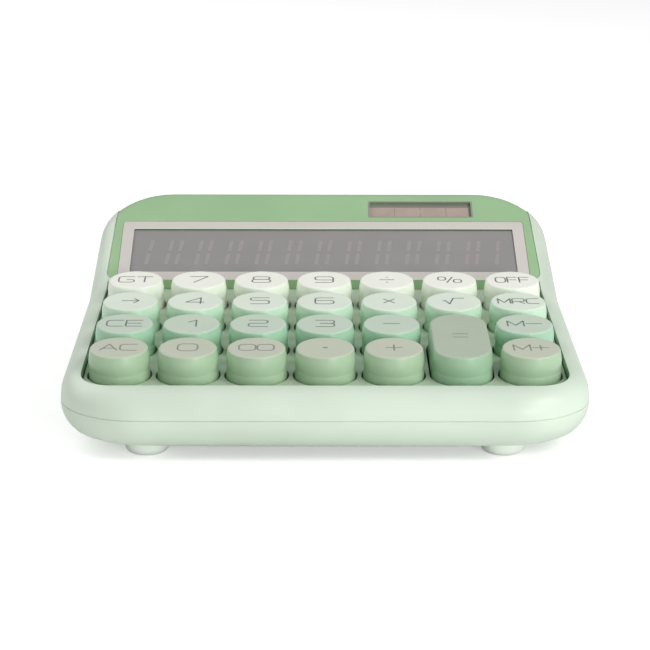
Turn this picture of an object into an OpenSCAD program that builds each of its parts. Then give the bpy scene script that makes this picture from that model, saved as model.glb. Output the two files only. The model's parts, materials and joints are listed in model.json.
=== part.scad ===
// Twelve-digit desk calculator with round full-travel keys.
// Millimetres, +Z up.  The origin is on the table, in the middle of the outline.
// The key deck has its own tilted frame, and the display face one more on top of it.

/* [Keys] */
// Distance between neighbouring key centres, both ways
key_pitch = 19.05; // [18.6:0.05:20.5]
// Diameter of a key's flat top
key_top_d = 15.8; // [14:0.1:16.4]
// Diameter of a key at the foot of its skirt
key_skirt_d = 17.4; // [17:0.1:17.6]
// Height of a key's top above the deck
key_rise = 8.2; // [7:0.1:10]
// Radius of the edge round a key's top
key_edge_r = 0.7; // [0.4:0.1:1.2]
// Thickness of a keycap's top and skirt
key_wall = 1.2; // [1:0.1:1.5]
// How far a key goes down
key_travel = 2.5; // [2:0.1:2.6]
// How far a key's skirt reaches below the deck's face
key_sink = 1; // [0.8:0.1:1.2]

/* [Key deck] */
// Tilt of the key deck to the table, in degrees
deck_tilt = 5; // [4.5:0.5:6]
// Height of the deck's face above the table at the front row of keys
deck_height = 19.03; // [19:0.05:21]
// Thickness of the deck plate
deck_t = 2; // [1.8:0.1:2.2]
// Deck beside the outer keys, out to the case
deck_side = 1.5; // [1.5:0.1:3]
// Deck in front of the front row of keys, out to the case
deck_front = 6; // [5.6:0.1:8]
// Deck behind the rear row of keys, up to the display face
deck_rear = 6.15; // [6:0.1:9]
// Radius of the tray's front corners
tray_corner_r = 10; // [9:0.5:11]

/* [Case] */
// Width of the rim beside the key tray
rim_side_w = 6.3; // [6.1:0.1:8]
// Width of the rim in front of the key tray
rim_front_w = 7.8; // [7.6:0.1:9]
// Depth of the display part behind the key tray
display_d = 52.9; // [52:0.1:56]
// Height of the rim above the deck at the front
rim_front_rise = 2.8; // [2.6:0.1:3.4]
// Height of the rim above the deck at the display face
rim_rear_rise = 1.44; // [1.3:0.1:1.8]
// Radius of the rolled rim
rim_r = 6.6; // [6:0.1:7.4]
// Radius of the case's corners seen from above
corner_r = 23; // [22:1:23]
// Draft of the upper shell's sides, in degrees
side_draft = 3.75; // [2:0.25:4]
// Wall of the upper shell
shell_wall = 2; // [1.8:0.1:2.2]
// Height of the seam between the two shells
seam_z = 12.7; // [12.7:0.1:13]
// Radius of the lower shell's quarter-round edge
belly_r = 9.5; // [8.5:0.1:9.5]
// Radius of the gentle crown across the lower shell
crown_r = 940; // [900:10:2000]
// Floor and wall of the lower shell
floor_t = 1.8; // [1.6:0.1:1.9]

/* [Display] */
// Slope of the display face to the key deck, in degrees
face_slope = 17.9; // [16:0.1:20]
// Height of the display face's front edge above the deck
face_rise = 2.4; // [2.2:0.1:3]
// How far the display face lies below the rim beside it
face_recess = 0.3; // [0.2:0.1:0.5]
// Thickness of the display panel
panel_t = 2; // [1.8:0.1:2.2]
// Half width that the panel adds to the key tray's at its front edge
panel_flare = 0.7; // [0.5:0.1:1]
// How much narrower each side of the panel is at its rear edge
panel_taper = 1.15; // [0:0.05:1.5]
// Radius of the panel's front corners
panel_corner_r = 4.5; // [3:0.5:6]
// Height of the skirt that the panel drops over the back
panel_skirt = 12; // [10:0.5:14]
// Length of the case's rear end that the skirt wraps
skirt_d = 15; // [14:0.5:16]
// Width of the display lens
lens_w = 129.2; // [124:0.1:130]
// Length of the display lens along the slope
lens_l = 31.8; // [30:0.1:32]
// Green strip in front of the lens
lens_front = 0.5; // [0.5:0.1:1]
// Thickness of the display lens and the solar window
lens_t = 1; // [0.8:0.1:1.2]
// Width of the liquid crystal's visible area
view_w = 121.9; // [110:0.1:122]
// Length of the liquid crystal's visible area
view_l = 22.9; // [20:0.1:23.5]
// Width of the solar window
solar_w = 34; // [30:0.5:38]
// Length of the solar window along the slope
solar_l = 9.15; // [8:0.05:9.5]
// Place of the solar window's middle across the case
solar_x = 31.7; // [28:0.1:34]
// Distance from the lens to the solar window
solar_gap = 2.3; // [2.2:0.1:3]

/* [Feet and screws] */
// Distance of a foot from the middle, across the case
foot_x = 49.1; // [47.5:0.1:50.5]
// Distance of a foot's middle from the case's front or back
foot_inset = 14; // [13.5:0.1:15]
// Diameter of a foot where it leaves the case
foot_d = 12.9; // [11:0.1:13]
// Diameter that a foot loses on its way down
foot_taper = 0.6; // [0:0.1:1]
// Radius of a foot's lower edge
foot_edge_r = 2; // [1:0.1:2.4]
// Height of the case's underside above the table
foot_h = 3.15; // [2.9:0.05:3.15]
// Diameter of a case screw's thread
screw_d = 2.5; // [2.2:0.1:2.8]
// Length of a case screw's thread
screw_len = 8.2; // [7:0.1:8.3]
// Diameter of a small screw's thread
tap_d = 1.8; // [1.6:0.1:2]

/* [Inside] */
// Side of a key switch's housing
switch_w = 13.8; // [13:0.1:13.8]
// Height of a key switch's housing
switch_h = 5.7; // [5.5:0.1:5.9]
// Side of a switch's square plunger
plunger_w = 5; // [4.5:0.1:5.5]
// Thickness of the circuit board
board_t = 1.2; // [1:0.1:1.3]
// Diameter of the battery cell
cell_d = 10.5; // [10:0.1:10.5]
// Length of the battery cell without its button
cell_len = 43.7; // [43:0.1:44]
// Room for the contact, the spring or the button at each end of the cell
cell_room = 3.55; // [3.5:0.05:4]
// Length of the battery door's flat, in front of the curved back
door_flat = 17.5; // [16:0.5:20]

/* [Clearances] */
// Gap between a key's skirt and its hole in the deck
key_gap = 0.35; // [0.3:0.05:0.5]
// Gap round the deck and round the battery door
plate_gap = 0.4; // [0.2:0.05:0.5]
// Gap between pieces that are fitted and don't move
fit_gap = 0.05; // [0.03:0.01:0.1]
// Radial running clearance of a plunger in its housing
slide_gap = 0.05; // [0.04:0.01:0.1]

/* [Hidden] */
key_columns = 7;
key_rows = 4;

// One key: its name, its column from the left, its row from the front, its colour row
KEY_ROWS = [
    ["key_all_clear", "key_0", "key_00", "key_point", "key_plus", "", "key_memory_plus"],
    ["key_clear_entry", "key_1", "key_2", "key_3", "key_minus", "", "key_memory_minus"],
    ["key_backspace", "key_4", "key_5", "key_6", "key_times", "key_square_root",
     "key_memory_recall"],
    ["key_grand_total", "key_7", "key_8", "key_9", "key_divide", "key_percent", "key_off"]
];
EQUALS_KEY = "key_equals";
equals_column = 5;
ROW_COLOURS = ["#96b992", "#a8cda8", "#c3e3bf", "#e4f3dc"];

KEY_NAMES = [for (row = KEY_ROWS) for (name = row) if (name != "") name];

round_fn = 96;
roll_fn = 40;
hair = 0.01;
deep = 60;

// Tray and case outline
key_r = key_skirt_d / 2;
tray_half_w = (key_columns - 1) / 2 * key_pitch + key_r + deck_side;
tray_front = -key_r - deck_front;
tray_rear = (key_rows - 1) * key_pitch + key_r + deck_rear;
tray_wall = 1.5;
body_half_w = tray_half_w + rim_side_w;

function turned(tilt, y, z) = [y * cos(tilt) - z * sin(tilt), y * sin(tilt) + z * cos(tilt)];
tray_front_edge = turned(deck_tilt, tray_front, rim_front_rise);
face_front_edge = turned(deck_tilt, tray_rear, face_rise);
face_tilt = deck_tilt + face_slope;
body_half_d = (rim_front_w - tray_front_edge[0] + face_front_edge[0] + display_d) / 2;
deck_y = -body_half_d + rim_front_w - tray_front_edge[0];

// A point of the deck's frame, as [y, z] of the case
function on_case(y, z) = [deck_y, deck_height] + turned(deck_tilt, y, z);

rim_front_point = on_case(tray_front, rim_front_rise);
rim_rear_point = on_case(tray_rear, rim_rear_rise);
rim_tilt = atan2(rim_rear_point[1] - rim_front_point[1], rim_rear_point[0] - rim_front_point[0]);
face_point = on_case(tray_rear, face_rise)
    + face_recess * [-sin(face_tilt), cos(face_tilt)];
// Where the face's plane, run on forwards, meets the seam
face_foot_y = face_point[0] - (face_point[1] - seam_z) / tan(face_tilt);

// Rolled corners: rings that lie under a sloping plane and touch it
ring_r = corner_r - rim_r;
draft_run = tan(side_draft);
function drafted(size, z) = size - draft_run * (z - seam_z);
function uphill(tilt) = [cos(tilt), sin(tilt)];
// The middle of the roll, run up the slope from the point on the plane
function roll_at(tilt, point, run) =
    point + rim_r * [sin(tilt), -cos(tilt)] + run * uphill(tilt);
function front_run(tilt, point) = (rim_r - body_half_d - roll_at(tilt, point, 0)[0]) / cos(tilt);
function rear_run(tilt, point) = let (start = roll_at(tilt, point, 0))
    (drafted(body_half_d, start[1]) - rim_r - start[0]) / (cos(tilt) + draft_run * sin(tilt));
case_top = roll_at(face_tilt, face_point, rear_run(face_tilt, face_point))[1] + rim_r;
face_len = rear_run(face_tilt, face_point);
anchor_run = -ring_r - 1;
foot_y = body_half_d - foot_inset;

// Levels in the deck's frame
ledge_w = 0.9;
ledge_t = 1.6;
ledge_z = -deck_t;
cap_under = key_rise - key_wall - 0.2;
switch_top = -key_sink - key_travel - 0.4;
switch_z = switch_top - switch_h;
board_z = switch_z - board_t;
plunger_z = switch_z + key_travel + 0.4;
board_half_w = tray_half_w - ledge_w - 2;
board_front = -switch_w / 2 - 0.3;
board_rear = tray_rear - 3;

// Display face: s runs up the slope from its front edge, n stands on it
lip_t = 1.6;
lip_z = -1;
lens_inset = 2.6;
view_s = lens_front + (lens_l - view_l) / 2 + 0.15;
glass_t = 2.2;
glass_front = lip_t + tray_wall + 0.5;
glass_l = view_s + view_l + 1.95 - glass_front;
glass_w = view_w + 4.3;
glass_top = -panel_t - 2 * fit_gap;
panel_floor = face_recess + panel_t + fit_gap;
floor_under = panel_floor + shell_wall;
bracket_top = face_recess - floor_under - fit_gap;
bracket_t = 2;
bracket_margin = 3.4;
solar_s = lens_front + lens_l + solar_gap;
solar_ledge = 0.6;
cell_plate_t = 1;

// Screws and bosses
screw_head_d = 4.6;
screw_head_h = 1.6;
boss_r = 2.75;
front_screw_x = 2.5 * key_pitch;
front_screw_y = on_case(tray_front + ledge_w + boss_r - 0.5, 0)[0];
boss_split_z = 9.2;
foot_seat_z = foot_h + floor_t + 0.35;
screw_seat_z = foot_seat_z + screw_head_h + 0.1;
boss_gap = 0.1;
tap_len = 4.5;
tap_head_d = 3.4;
tap_head_h = 1.1;
deck_boss_r = 2.2;

// Battery bay
cell_y = body_half_d - belly_r - 6;
bay_wall = 1.4;
bay_half_w = cell_len / 2 + cell_room;
bay_lip = 1;
door_half_w = bay_half_w - bay_lip - plate_gap;
cell_z = foot_h + floor_t + 0.9 + cell_d / 2;
bay_front = cell_y - cell_d / 2 - 0.8;
bay_roof = cell_z + cell_d / 2 + 0.8;
cell_x = 0.25;
contact_t = 0.5;
contact_w = 8;
spring_wire_r = 0.3;
spring_turns = 3.5;
door_front = body_half_d - belly_r - door_flat;
rail_w = 1.2;
rail_t = 0.6;
crown_rise = door_half_w * door_half_w / (2 * crown_r);
rail_z = foot_h + crown_rise + 0.9;
rail_gap = 0.08;

// ---------- frames ----------

module on_deck() {
    translate([0, deck_y, deck_height]) rotate([deck_tilt, 0, 0]) children();
}

module on_face() {
    on_deck() translate([0, tray_rear, face_rise]) rotate([face_slope, 0, 0]) children();
}

module both_sides() {
    children();
    mirror([1, 0, 0]) children();
}

// ---------- plain shapes ----------

module round_rect(w, l, r) {
    square([w - 2 * r, l], center = true);
    square([w, l - 2 * r], center = true);
    for (x = [-1, 1], y = [-1, 1])
        translate([x * (w / 2 - r), y * (l / 2 - r)]) circle(r, $fn = round_fn);
}

// A plate on the display face, from s = front, with its top at n = top
module face_plate(w, front, l, top, t, r) {
    translate([0, front + l / 2, top - t]) linear_extrude(t) round_rect(w, l, r);
}

// The tray seen along the deck's own upright; grow widens it all round
module tray_outline(grow) {
    r = tray_corner_r + grow;
    half_w = tray_half_w + grow;
    front = tray_front - grow;
    rear = tray_rear + grow;
    translate([-half_w, front + r]) square([2 * half_w, rear - front - r]);
    translate([-half_w + r, front]) square([2 * (half_w - r), r + hair]);
    for (x = [-1, 1]) translate([x * (half_w - r), front + r]) circle(r, $fn = round_fn);
}

// The display panel seen along the deck's own upright; grow widens it all round
module panel_outline(grow) {
    r = panel_corner_r + grow;
    taper = atan(panel_taper / (face_len * cos(face_slope)));
    front = tray_rear - grow;
    rear = tray_rear + deep + corner_r;
    half_w = tray_half_w + panel_flare + grow / cos(taper);
    centre = [half_w - r * (tan(taper) + 1 / cos(taper)), front + r];
    tangent = centre + r * [cos(taper), sin(taper)];
    rear_half = half_w - (rear - tray_rear) * tan(taper);
    both_sides() {
        polygon([[0, front], [centre[0], front], centre, tangent, [rear_half, rear], [0, rear]]);
        translate(centre) circle(r, $fn = round_fn);
    }
}

// ---------- upper shell form ----------

module ring_pair(tilt, centre, inset) {
    both_sides() translate([drafted(body_half_w, centre[1]) - corner_r, centre[0], centre[1]])
        rotate([tilt, 0, 0]) rotate_extrude($fn = roll_fn)
            translate([ring_r, 0]) circle(rim_r - inset, $fn = roll_fn * 0.8);
}

module seam_slab(inset, base, front) {
    r = corner_r - inset;
    for (x = [-1, 1], y = [front + inset + r, body_half_d - inset - r])
        translate([x * (body_half_w - inset - r), y, base])
            cylinder(r = r, h = seam_z + hair - base, $fn = roll_fn);
}

// The key part of the case, from base up to the rim, moved inwards by inset
module key_form(inset, base) {
    front = front_run(rim_tilt, rim_front_point) + ring_r;
    rear = rear_run(rim_tilt, rim_front_point) - ring_r;
    hull() {
        seam_slab(inset, base, -body_half_d);
        ring_pair(rim_tilt, roll_at(rim_tilt, rim_front_point, front), inset);
        ring_pair(rim_tilt, roll_at(rim_tilt, rim_front_point, rear), inset);
    }
}

// The display part, likewise; its front end lies inside the key part
module display_form(inset, base) {
    rear = rear_run(face_tilt, face_point) - ring_r;
    hull() {
        seam_slab(inset, base, face_foot_y + rim_r);
        ring_pair(face_tilt, roll_at(face_tilt, face_point, anchor_run), inset);
        ring_pair(face_tilt, roll_at(face_tilt, face_point, rear), inset);
    }
}

// ---------- upper shell ----------

module case_boss(x, y, h = deep) {
    translate([x, y, boss_split_z + boss_gap]) cylinder(r = boss_r, h = h, $fn = round_fn);
}

module upper_shell_hollow() {
    skirt_z = case_top - panel_skirt;
    rear_inner = drafted(body_half_d, case_top) - panel_floor - shell_wall;
    difference() {
        union() {
            key_form(shell_wall, seam_z - 1);
            display_form(shell_wall, seam_z - 1);
        }
        on_deck() translate([0, 0, ledge_z - ledge_t]) linear_extrude(deep)
            tray_outline(tray_wall);
        on_deck() translate([-tray_half_w, tray_rear, ledge_z - ledge_t])
            cube([2 * tray_half_w, lip_t + tray_wall, deep]);
        on_face() translate([-deep * 2, 0, face_recess - floor_under])
            cube([deep * 4, face_len + corner_r, deep]);
        translate([-deep * 2, rear_inner, skirt_z - shell_wall])
            cube([deep * 4, corner_r, deep]);
        both_sides() case_boss(front_screw_x, front_screw_y);
        both_sides() case_boss(foot_x, foot_y);
    }
}

module upper_shell() {
    color("#cfe4cc") difference() {
        union() {
            intersection() {
                union() {
                    key_form(0, seam_z);
                    display_form(0, seam_z);
                }
                translate([-deep * 2, -deep * 2, seam_z]) cube([deep * 4, deep * 4, deep]);
            }
            both_sides() case_boss(front_screw_x, front_screw_y, seam_z - boss_split_z);
            both_sides() case_boss(foot_x, foot_y, seam_z - boss_split_z);
        }
        upper_shell_hollow();
        // key tray: a seat for the deck plate, and the hole inside its ledge
        on_deck() {
            translate([0, 0, ledge_z]) linear_extrude(deep) difference() {
                tray_outline(0);
                translate([-deep * 2, tray_rear]) square([deep * 4, deep]);
            }
        }
        difference() {
            on_deck() translate([0, 0, -deep]) linear_extrude(2 * deep) tray_outline(-ledge_w);
            both_sides() case_boss(front_screw_x, front_screw_y);
        }
        // recess and front slot for the display panel
        difference() {
            on_deck() translate([0, 0, lip_z - fit_gap]) linear_extrude(deep)
                panel_outline(fit_gap);
            display_form(panel_floor, seam_z - 1);
            translate([-deep * 2, body_half_d - skirt_d, 0])
                cube([deep * 4, deep, case_top - panel_skirt - fit_gap]);
        }
        on_deck() intersection() {
            translate([0, 0, lip_z - fit_gap]) linear_extrude(deep) panel_outline(fit_gap);
            translate([-deep * 2, tray_rear - 1, lip_z - fit_gap])
                cube([deep * 4, 1 + lip_t + fit_gap, deep]);
        }
        // windows for the liquid crystal and the solar cell
        on_face() {
            face_plate(glass_w + 4 * fit_gap, glass_front - 2 * fit_gap, glass_l + 4 * fit_gap,
                deck_t, deck_t + floor_under + 1, 0.5);
            translate([solar_x, 0]) face_plate(solar_w + 2 * solar_ledge, solar_s - solar_ledge,
                solar_l + 2 * solar_ledge, deck_t, deck_t + panel_t + 0.1 + cell_plate_t, 0.5);
        }
        // pilot holes of the case and bracket screws
        both_sides() for (place = [[front_screw_x, front_screw_y], [foot_x, foot_y]])
            translate([place[0], place[1], screw_seat_z])
                cylinder(d = screw_d + 2 * fit_gap, h = screw_len + 0.2, $fn = round_fn);
        bracket_screw_places() translate([0, 0, bracket_top - hair])
            cylinder(d = tap_d + 2 * fit_gap, h = 1.6, $fn = round_fn);
    }
}

// ---------- lower shell ----------

// A slab with a quarter-round lower edge, moved inwards by inset
module tub(inset) {
    r = corner_r - inset;
    edge = belly_r - inset;
    half_w = body_half_w - inset;
    half_d = body_half_d - inset;
    base = foot_h + inset;
    top = seam_z + (inset > 0 ? 1 : 0);
    translate([0, 0, base]) {
        for (x = [0, 1], y = [0, 1]) mirror([x, 0]) mirror([0, y])
            translate([half_w - r, half_d - r])
                rotate_extrude(angle = 90, $fn = round_fn) half_edge(r, edge, top - base);
        rotate([90, 0, 0]) linear_extrude(2 * (half_d - r), center = true)
            both_sides() half_edge(half_w, edge, top - base);
        rotate([90, 0, 90]) linear_extrude(2 * (half_w - r), center = true)
            both_sides() half_edge(half_d, edge, top - base);
    }
}

module half_edge(half_w, edge, h) {
    square([half_w - edge, h]);
    translate([0, edge]) square([half_w, h - edge]);
    intersection() {
        translate([half_w - edge, edge]) circle(edge, $fn = round_fn);
        square([half_w, h]);
    }
}

module crowned(inset) {
    intersection() {
        tub(inset);
        translate([0, 0, foot_h + inset + crown_r]) rotate([90, 0, 0])
            cylinder(r = crown_r, h = 4 * body_half_d, center = true, $fn = 720);
    }
}

module screw_post(x, y) {
    translate([x, y, foot_h]) cylinder(r = boss_r + 0.9, h = boss_split_z - foot_h, $fn = round_fn);
}

module board_rib(x) {
    rib_t = 1.2;
    rib_gap = 0.1;
    rear = on_case(board_rear, board_z - rib_gap);
    front = on_case(key_pitch / 2, board_z - rib_gap);
    translate([x - rib_t / 2, 0, 0]) rotate([90, 0, 90]) linear_extrude(rib_t)
        polygon([[front[0], foot_h], [rear[0], foot_h], rear, front]);
}

module battery_bay() {
    roof_t = bay_wall;
    rear = body_half_d - belly_r;
    difference() {
        translate([-bay_half_w - bay_wall, bay_front - bay_wall, foot_h])
            cube([2 * (bay_half_w + bay_wall), rear - bay_front + bay_wall,
                bay_roof + roof_t - foot_h]);
        translate([-bay_half_w, bay_front, foot_h - 1])
            cube([2 * bay_half_w, deep, bay_roof - foot_h + 1]);
    }
}

module lower_shell() {
    color("#d9ead4") difference() {
        union() {
            difference() {
                crowned(0);
                crowned(floor_t);
            }
            intersection() {
                crowned(floor_t / 2);
                union() {
                    both_sides() screw_post(front_screw_x, front_screw_y);
                    both_sides() screw_post(foot_x, foot_y);
                }
            }
            difference() {
                union() {
                    both_sides() board_rib(2 * key_pitch);
                    battery_bay();
                }
                translate([-deep, -deep, foot_h - deep]) cube([2 * deep, 3 * deep, deep + floor_t / 2]);
            }
        }
        // battery door opening, with a rail left on each side
        difference() {
            translate([-door_half_w - plate_gap, door_front - plate_gap, foot_h - 1])
                cube([2 * (door_half_w + plate_gap), deep, seam_z - foot_h + 2]);
            both_sides()
                translate([door_half_w - rail_w + 2 * rail_gap, door_front - plate_gap - 1, rail_z])
                    cube([2, body_half_d - belly_r - door_front, rail_t]);
        }
        // the bay's floor inside the walls is the door's
        translate([-bay_half_w, bay_front, foot_h + floor_t + 0.35])
            cube([2 * bay_half_w, body_half_d - belly_r - bay_front, 1]);
        both_sides() for (place = [[front_screw_x, front_screw_y], [foot_x, foot_y]])
            translate([place[0], place[1], 0]) {
                cylinder(d = screw_d + 0.3, h = deep, $fn = round_fn);
                cylinder(d = screw_head_d + 0.3, h = screw_seat_z, $fn = round_fn);
            }
        both_sides() for (y = [-foot_y, foot_y]) translate([foot_x, y, 0])
            cylinder(d = foot_d + 2 * fit_gap, h = foot_seat_z, $fn = round_fn);
    }
}

module battery_door() {
    inner_step = 1.4;
    grip_r = 0.5;
    color("#d9ead4") difference() {
        intersection() {
            union() {
                difference() {
                    crowned(0);
                    crowned(floor_t);
                }
                both_sides() translate([door_half_w - inner_step, door_front, foot_h + floor_t / 2])
                    cube([inner_step, body_half_d - belly_r - door_front,
                        rail_z + rail_t + rail_gap + 0.8 - foot_h - floor_t / 2]);
            }
            translate([-door_half_w, door_front, 0])
                cube([2 * door_half_w, deep, seam_z - fit_gap]);
        }
        both_sides() translate([door_half_w - rail_w, door_front - 1, rail_z - rail_gap])
            cube([2, body_half_d - belly_r - door_front + 1.2, rail_t + 2 * rail_gap]);
        for (i = [0:3]) translate([0, door_front + 4 + i * 2, foot_h]) rotate([0, 90, 0])
            cylinder(r = grip_r, h = door_half_w * 0.7, center = true, $fn = 24);
    }
}

// ---------- key deck and keys ----------

module key_places(columns = key_columns) {
    for (row = [0:key_rows - 1], column = [0:columns - 1])
        if (KEY_ROWS[row][column] != "")
            translate([(column - (key_columns - 1) / 2) * key_pitch, row * key_pitch])
                children();
}

equals_place = [(equals_column - (key_columns - 1) / 2) * key_pitch, key_pitch / 2];

module deck_boss_places() {
    for (place = [[0.5, 0.5], [1.5, 2.5], [2.5, 1.5]])
        both_sides() translate([place[0] * key_pitch, place[1] * key_pitch]) children();
}

module key_deck() {
    hole_r = key_r + key_gap;
    color("#cfe4cc") on_deck() {
        difference() {
            union() {
                translate([0, 0, -deck_t]) linear_extrude(deck_t) difference() {
                    tray_outline(-plate_gap);
                    translate([-deep * 2, tray_rear - plate_gap]) square([deep * 4, deep]);
                }
                deck_boss_places() translate([0, 0, switch_z])
                    cylinder(r = deck_boss_r, h = -switch_z - deck_t / 2, $fn = round_fn);
            }
            key_places() translate([0, 0, -deck_t - 1])
                cylinder(r = hole_r, h = deck_t + 2, $fn = round_fn);
            translate([equals_place[0], equals_place[1], -deck_t - 1]) {
                for (y = [-1, 1]) translate([0, y * key_pitch / 2])
                    cylinder(r = hole_r, h = deck_t + 2, $fn = round_fn);
                translate([-hole_r, -key_pitch / 2]) cube([2 * hole_r, key_pitch, deck_t + 2]);
            }
            deck_boss_places() translate([0, 0, switch_z - 1])
                cylinder(d = tap_d + 2 * fit_gap, h = tap_len + 1, $fn = round_fn);
        }
    }
}

// Half of a keycap's outer outline, from its axis outwards
module cap_outline() {
    lean = atan((key_skirt_d - key_top_d) / 2 / (key_rise + key_sink));
    edge_z = key_rise - key_edge_r;
    edge_x = key_top_d / 2 + key_edge_r * tan(lean) - key_edge_r / cos(lean);
    edge_steps = 5;
    polygon(concat([[0, -key_sink], [0, key_rise]],
        [for (i = [0:edge_steps]) let (a = 90 + (lean - 90) * i / edge_steps)
            [edge_x, edge_z] + key_edge_r * [cos(a), sin(a)]],
        [[key_skirt_d / 2, -key_sink]]));
}

module cap_hollow() {
    polygon([[0, -key_sink - 1], [0, cap_under], [key_top_d / 2 - key_wall, cap_under],
        [key_skirt_d / 2 - key_wall, -key_sink], [key_skirt_d / 2 - key_wall, -key_sink - 1]]);
}

// A cap's outline or hollow swept round, and stretched along the deck for a long key
module swept(stretch) {
    for (end = stretch > 0 ? [-0.5, 0.5] : [0]) translate([0, end * stretch])
        rotate_extrude($fn = round_fn) children();
    if (stretch > 0) rotate([90, 0, 0]) linear_extrude(stretch, center = true)
        both_sides() children();
}

cross_w = 1.1;
cross_l = 3.9;
cross_h = 3.5;
stem_r = 2.75;

module cross(gap, h) {
    for (turn = [0, 90]) rotate([0, 0, turn]) translate([-cross_l / 2 - gap, -cross_w / 2 - gap])
        cube([cross_l + 2 * gap, cross_w + 2 * gap, h]);
}

guide_r = 1.5;
guide_spread = key_pitch / 2;

module keycap(stretch) {
    difference() {
        union() {
            difference() {
                swept(stretch) cap_outline();
                swept(stretch) cap_hollow();
            }
            translate([0, 0, -key_sink])
                cylinder(r = stem_r, h = cap_under + key_sink + hair, $fn = round_fn);
            if (stretch > 0) for (y = [-1, 1]) translate([0, y * guide_spread, plunger_z])
                cylinder(r = guide_r, h = cap_under - plunger_z + hair, $fn = round_fn);
        }
        translate([0, 0, -key_sink - fit_gap]) cross(fit_gap, cross_h + 2 * fit_gap);
    }
}

module plunger() {
    translate([-plunger_w / 2, -plunger_w / 2, plunger_z])
        cube([plunger_w, plunger_w, -key_sink - fit_gap - plunger_z]);
    translate([0, 0, -key_sink - fit_gap - hair]) cross(0, cross_h);
}

module key_at(column, row, shade, stretch = 0) {
    on_deck() translate([(column - (key_columns - 1) / 2) * key_pitch, row * key_pitch]) {
        color(shade) keycap(stretch);
        color("#8a8f8a") plunger();
    }
}

module key(name) {
    for (row = [0:key_rows - 1], column = [0:key_columns - 1])
        if (KEY_ROWS[row][column] == name) key_at(column, row, ROW_COLOURS[row]);
}

module equals_key() {
    key_at(equals_column, 0.5, "#8fae8a", key_pitch);
}

// ---------- switches and board ----------

module switch_housing() {
    translate([0, 0, switch_z]) difference() {
        translate([-switch_w / 2, -switch_w / 2]) cube([switch_w, switch_w, switch_h]);
        translate([-plunger_w / 2 - slide_gap, -plunger_w / 2 - slide_gap, 0.2])
            cube([plunger_w + 2 * slide_gap, plunger_w + 2 * slide_gap, switch_h]);
    }
}

module switch_housings() {
    color("#3a3d3a") on_deck() {
        key_places() switch_housing();
        translate(equals_place) switch_housing();
    }
}

// Bushes for the two guide posts of the long key, one beyond each end of its switch
module equals_guides() {
    bush_r = 2.3;
    color("#b8bdb6") on_deck() translate([equals_place[0], equals_place[1], switch_z])
        for (y = [-1, 1]) translate([0, y * guide_spread]) difference() {
            cylinder(r = bush_r, h = switch_h, $fn = round_fn);
            translate([0, 0, 0.2]) cylinder(r = guide_r + slide_gap, h = switch_h, $fn = round_fn);
        }
}

module main_board() {
    chip = [12, 12, 1];
    chip_from_rear = 24;
    color("#2f6b45") on_deck() difference() {
        union() {
            translate([-board_half_w, board_front, board_z])
                cube([2 * board_half_w, board_rear - board_front, board_t]);
            translate([-chip[0] / 2, board_rear - chip_from_rear, board_z - chip[2]]) cube(chip);
        }
        deck_boss_places() translate([0, 0, board_z - 1])
            cylinder(d = tap_d + 0.4, h = board_t + 2, $fn = round_fn);
    }
}

module small_screw(len) {
    cylinder(d = tap_d, h = len, $fn = round_fn);
    difference() {
        translate([0, 0, -tap_head_h]) cylinder(d = tap_head_d, h = tap_head_h, $fn = round_fn);
        translate([0, 0, -tap_head_h - hair]) for (turn = [0, 90]) rotate([0, 0, turn])
            translate([-0.8, -0.2, 0]) cube([1.6, 0.4, 0.5]);
    }
}

module board_screws() {
    color("silver") on_deck() deck_boss_places() translate([0, 0, board_z - fit_gap])
        small_screw(board_t + tap_len - 0.5);
}

// ---------- display ----------

module display_panel() {
    color("#a0c497") difference() {
        intersection() {
            union() {
                difference() {
                    display_form(face_recess, seam_z);
                    display_form(face_recess + panel_t, seam_z - 1);
                }
                on_deck() translate([-deep * 2, tray_rear, lip_z]) intersection() {
                    cube([deep * 4, lip_t, face_rise + lip_t * tan(face_slope) - lip_z]);
                }
            }
            on_deck() translate([0, 0, lip_z]) linear_extrude(deep) panel_outline(0);
            union() {
                translate([-deep * 2, -deep, 0])
                    cube([deep * 4, deep + body_half_d - skirt_d, deep * 2]);
                translate([-deep * 2, 0, case_top - panel_skirt]) cube([deep * 4, deep * 2, deep]);
            }
        }
        on_face() {
            face_plate(lens_w + 2 * fit_gap, lens_front - fit_gap, lens_l + 2 * fit_gap,
                deck_t, deck_t + lens_t + fit_gap, 1);
            face_plate(lens_w - 2 * lens_inset, lens_front + lens_inset, lens_l - 2 * lens_inset,
                deck_t, deep / 4, 1);
            translate([solar_x, 0]) {
                face_plate(solar_w + 2 * fit_gap, solar_s - fit_gap, solar_l + 2 * fit_gap,
                    deck_t, deck_t + lens_t + fit_gap, 0.5);
                face_plate(solar_w - 2 * solar_ledge, solar_s + solar_ledge,
                    solar_l - 2 * solar_ledge, deck_t, deep / 4, 0.5);
            }
        }
    }
}

module display_lens() {
    color("#b9b4b1") on_face() face_plate(lens_w, lens_front, lens_l, 0, lens_t, 1);
}

module solar_window() {
    color("#8d8078") on_face() translate([solar_x, 0])
        face_plate(solar_w, solar_s, solar_l, 0, lens_t, 0.5);
}

module solar_cell() {
    color("#3c2f2b") on_face() translate([solar_x, 0])
        face_plate(solar_w + solar_ledge, solar_s - solar_ledge / 2, solar_l + solar_ledge,
            -panel_t - fit_gap, cell_plate_t, 0.3);
}

module lcd_glass() {
    color("#8f9490") on_face() face_plate(glass_w, glass_front, glass_l, glass_top, glass_t, 0.4);
}

module bracket_screw_places() {
    on_face() for (s = [glass_front - 0.2, glass_front + glass_l + 0.2])
        both_sides() translate([glass_w / 2 + bracket_margin / 2 + 0.3, s, 0]) children();
}

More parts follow.
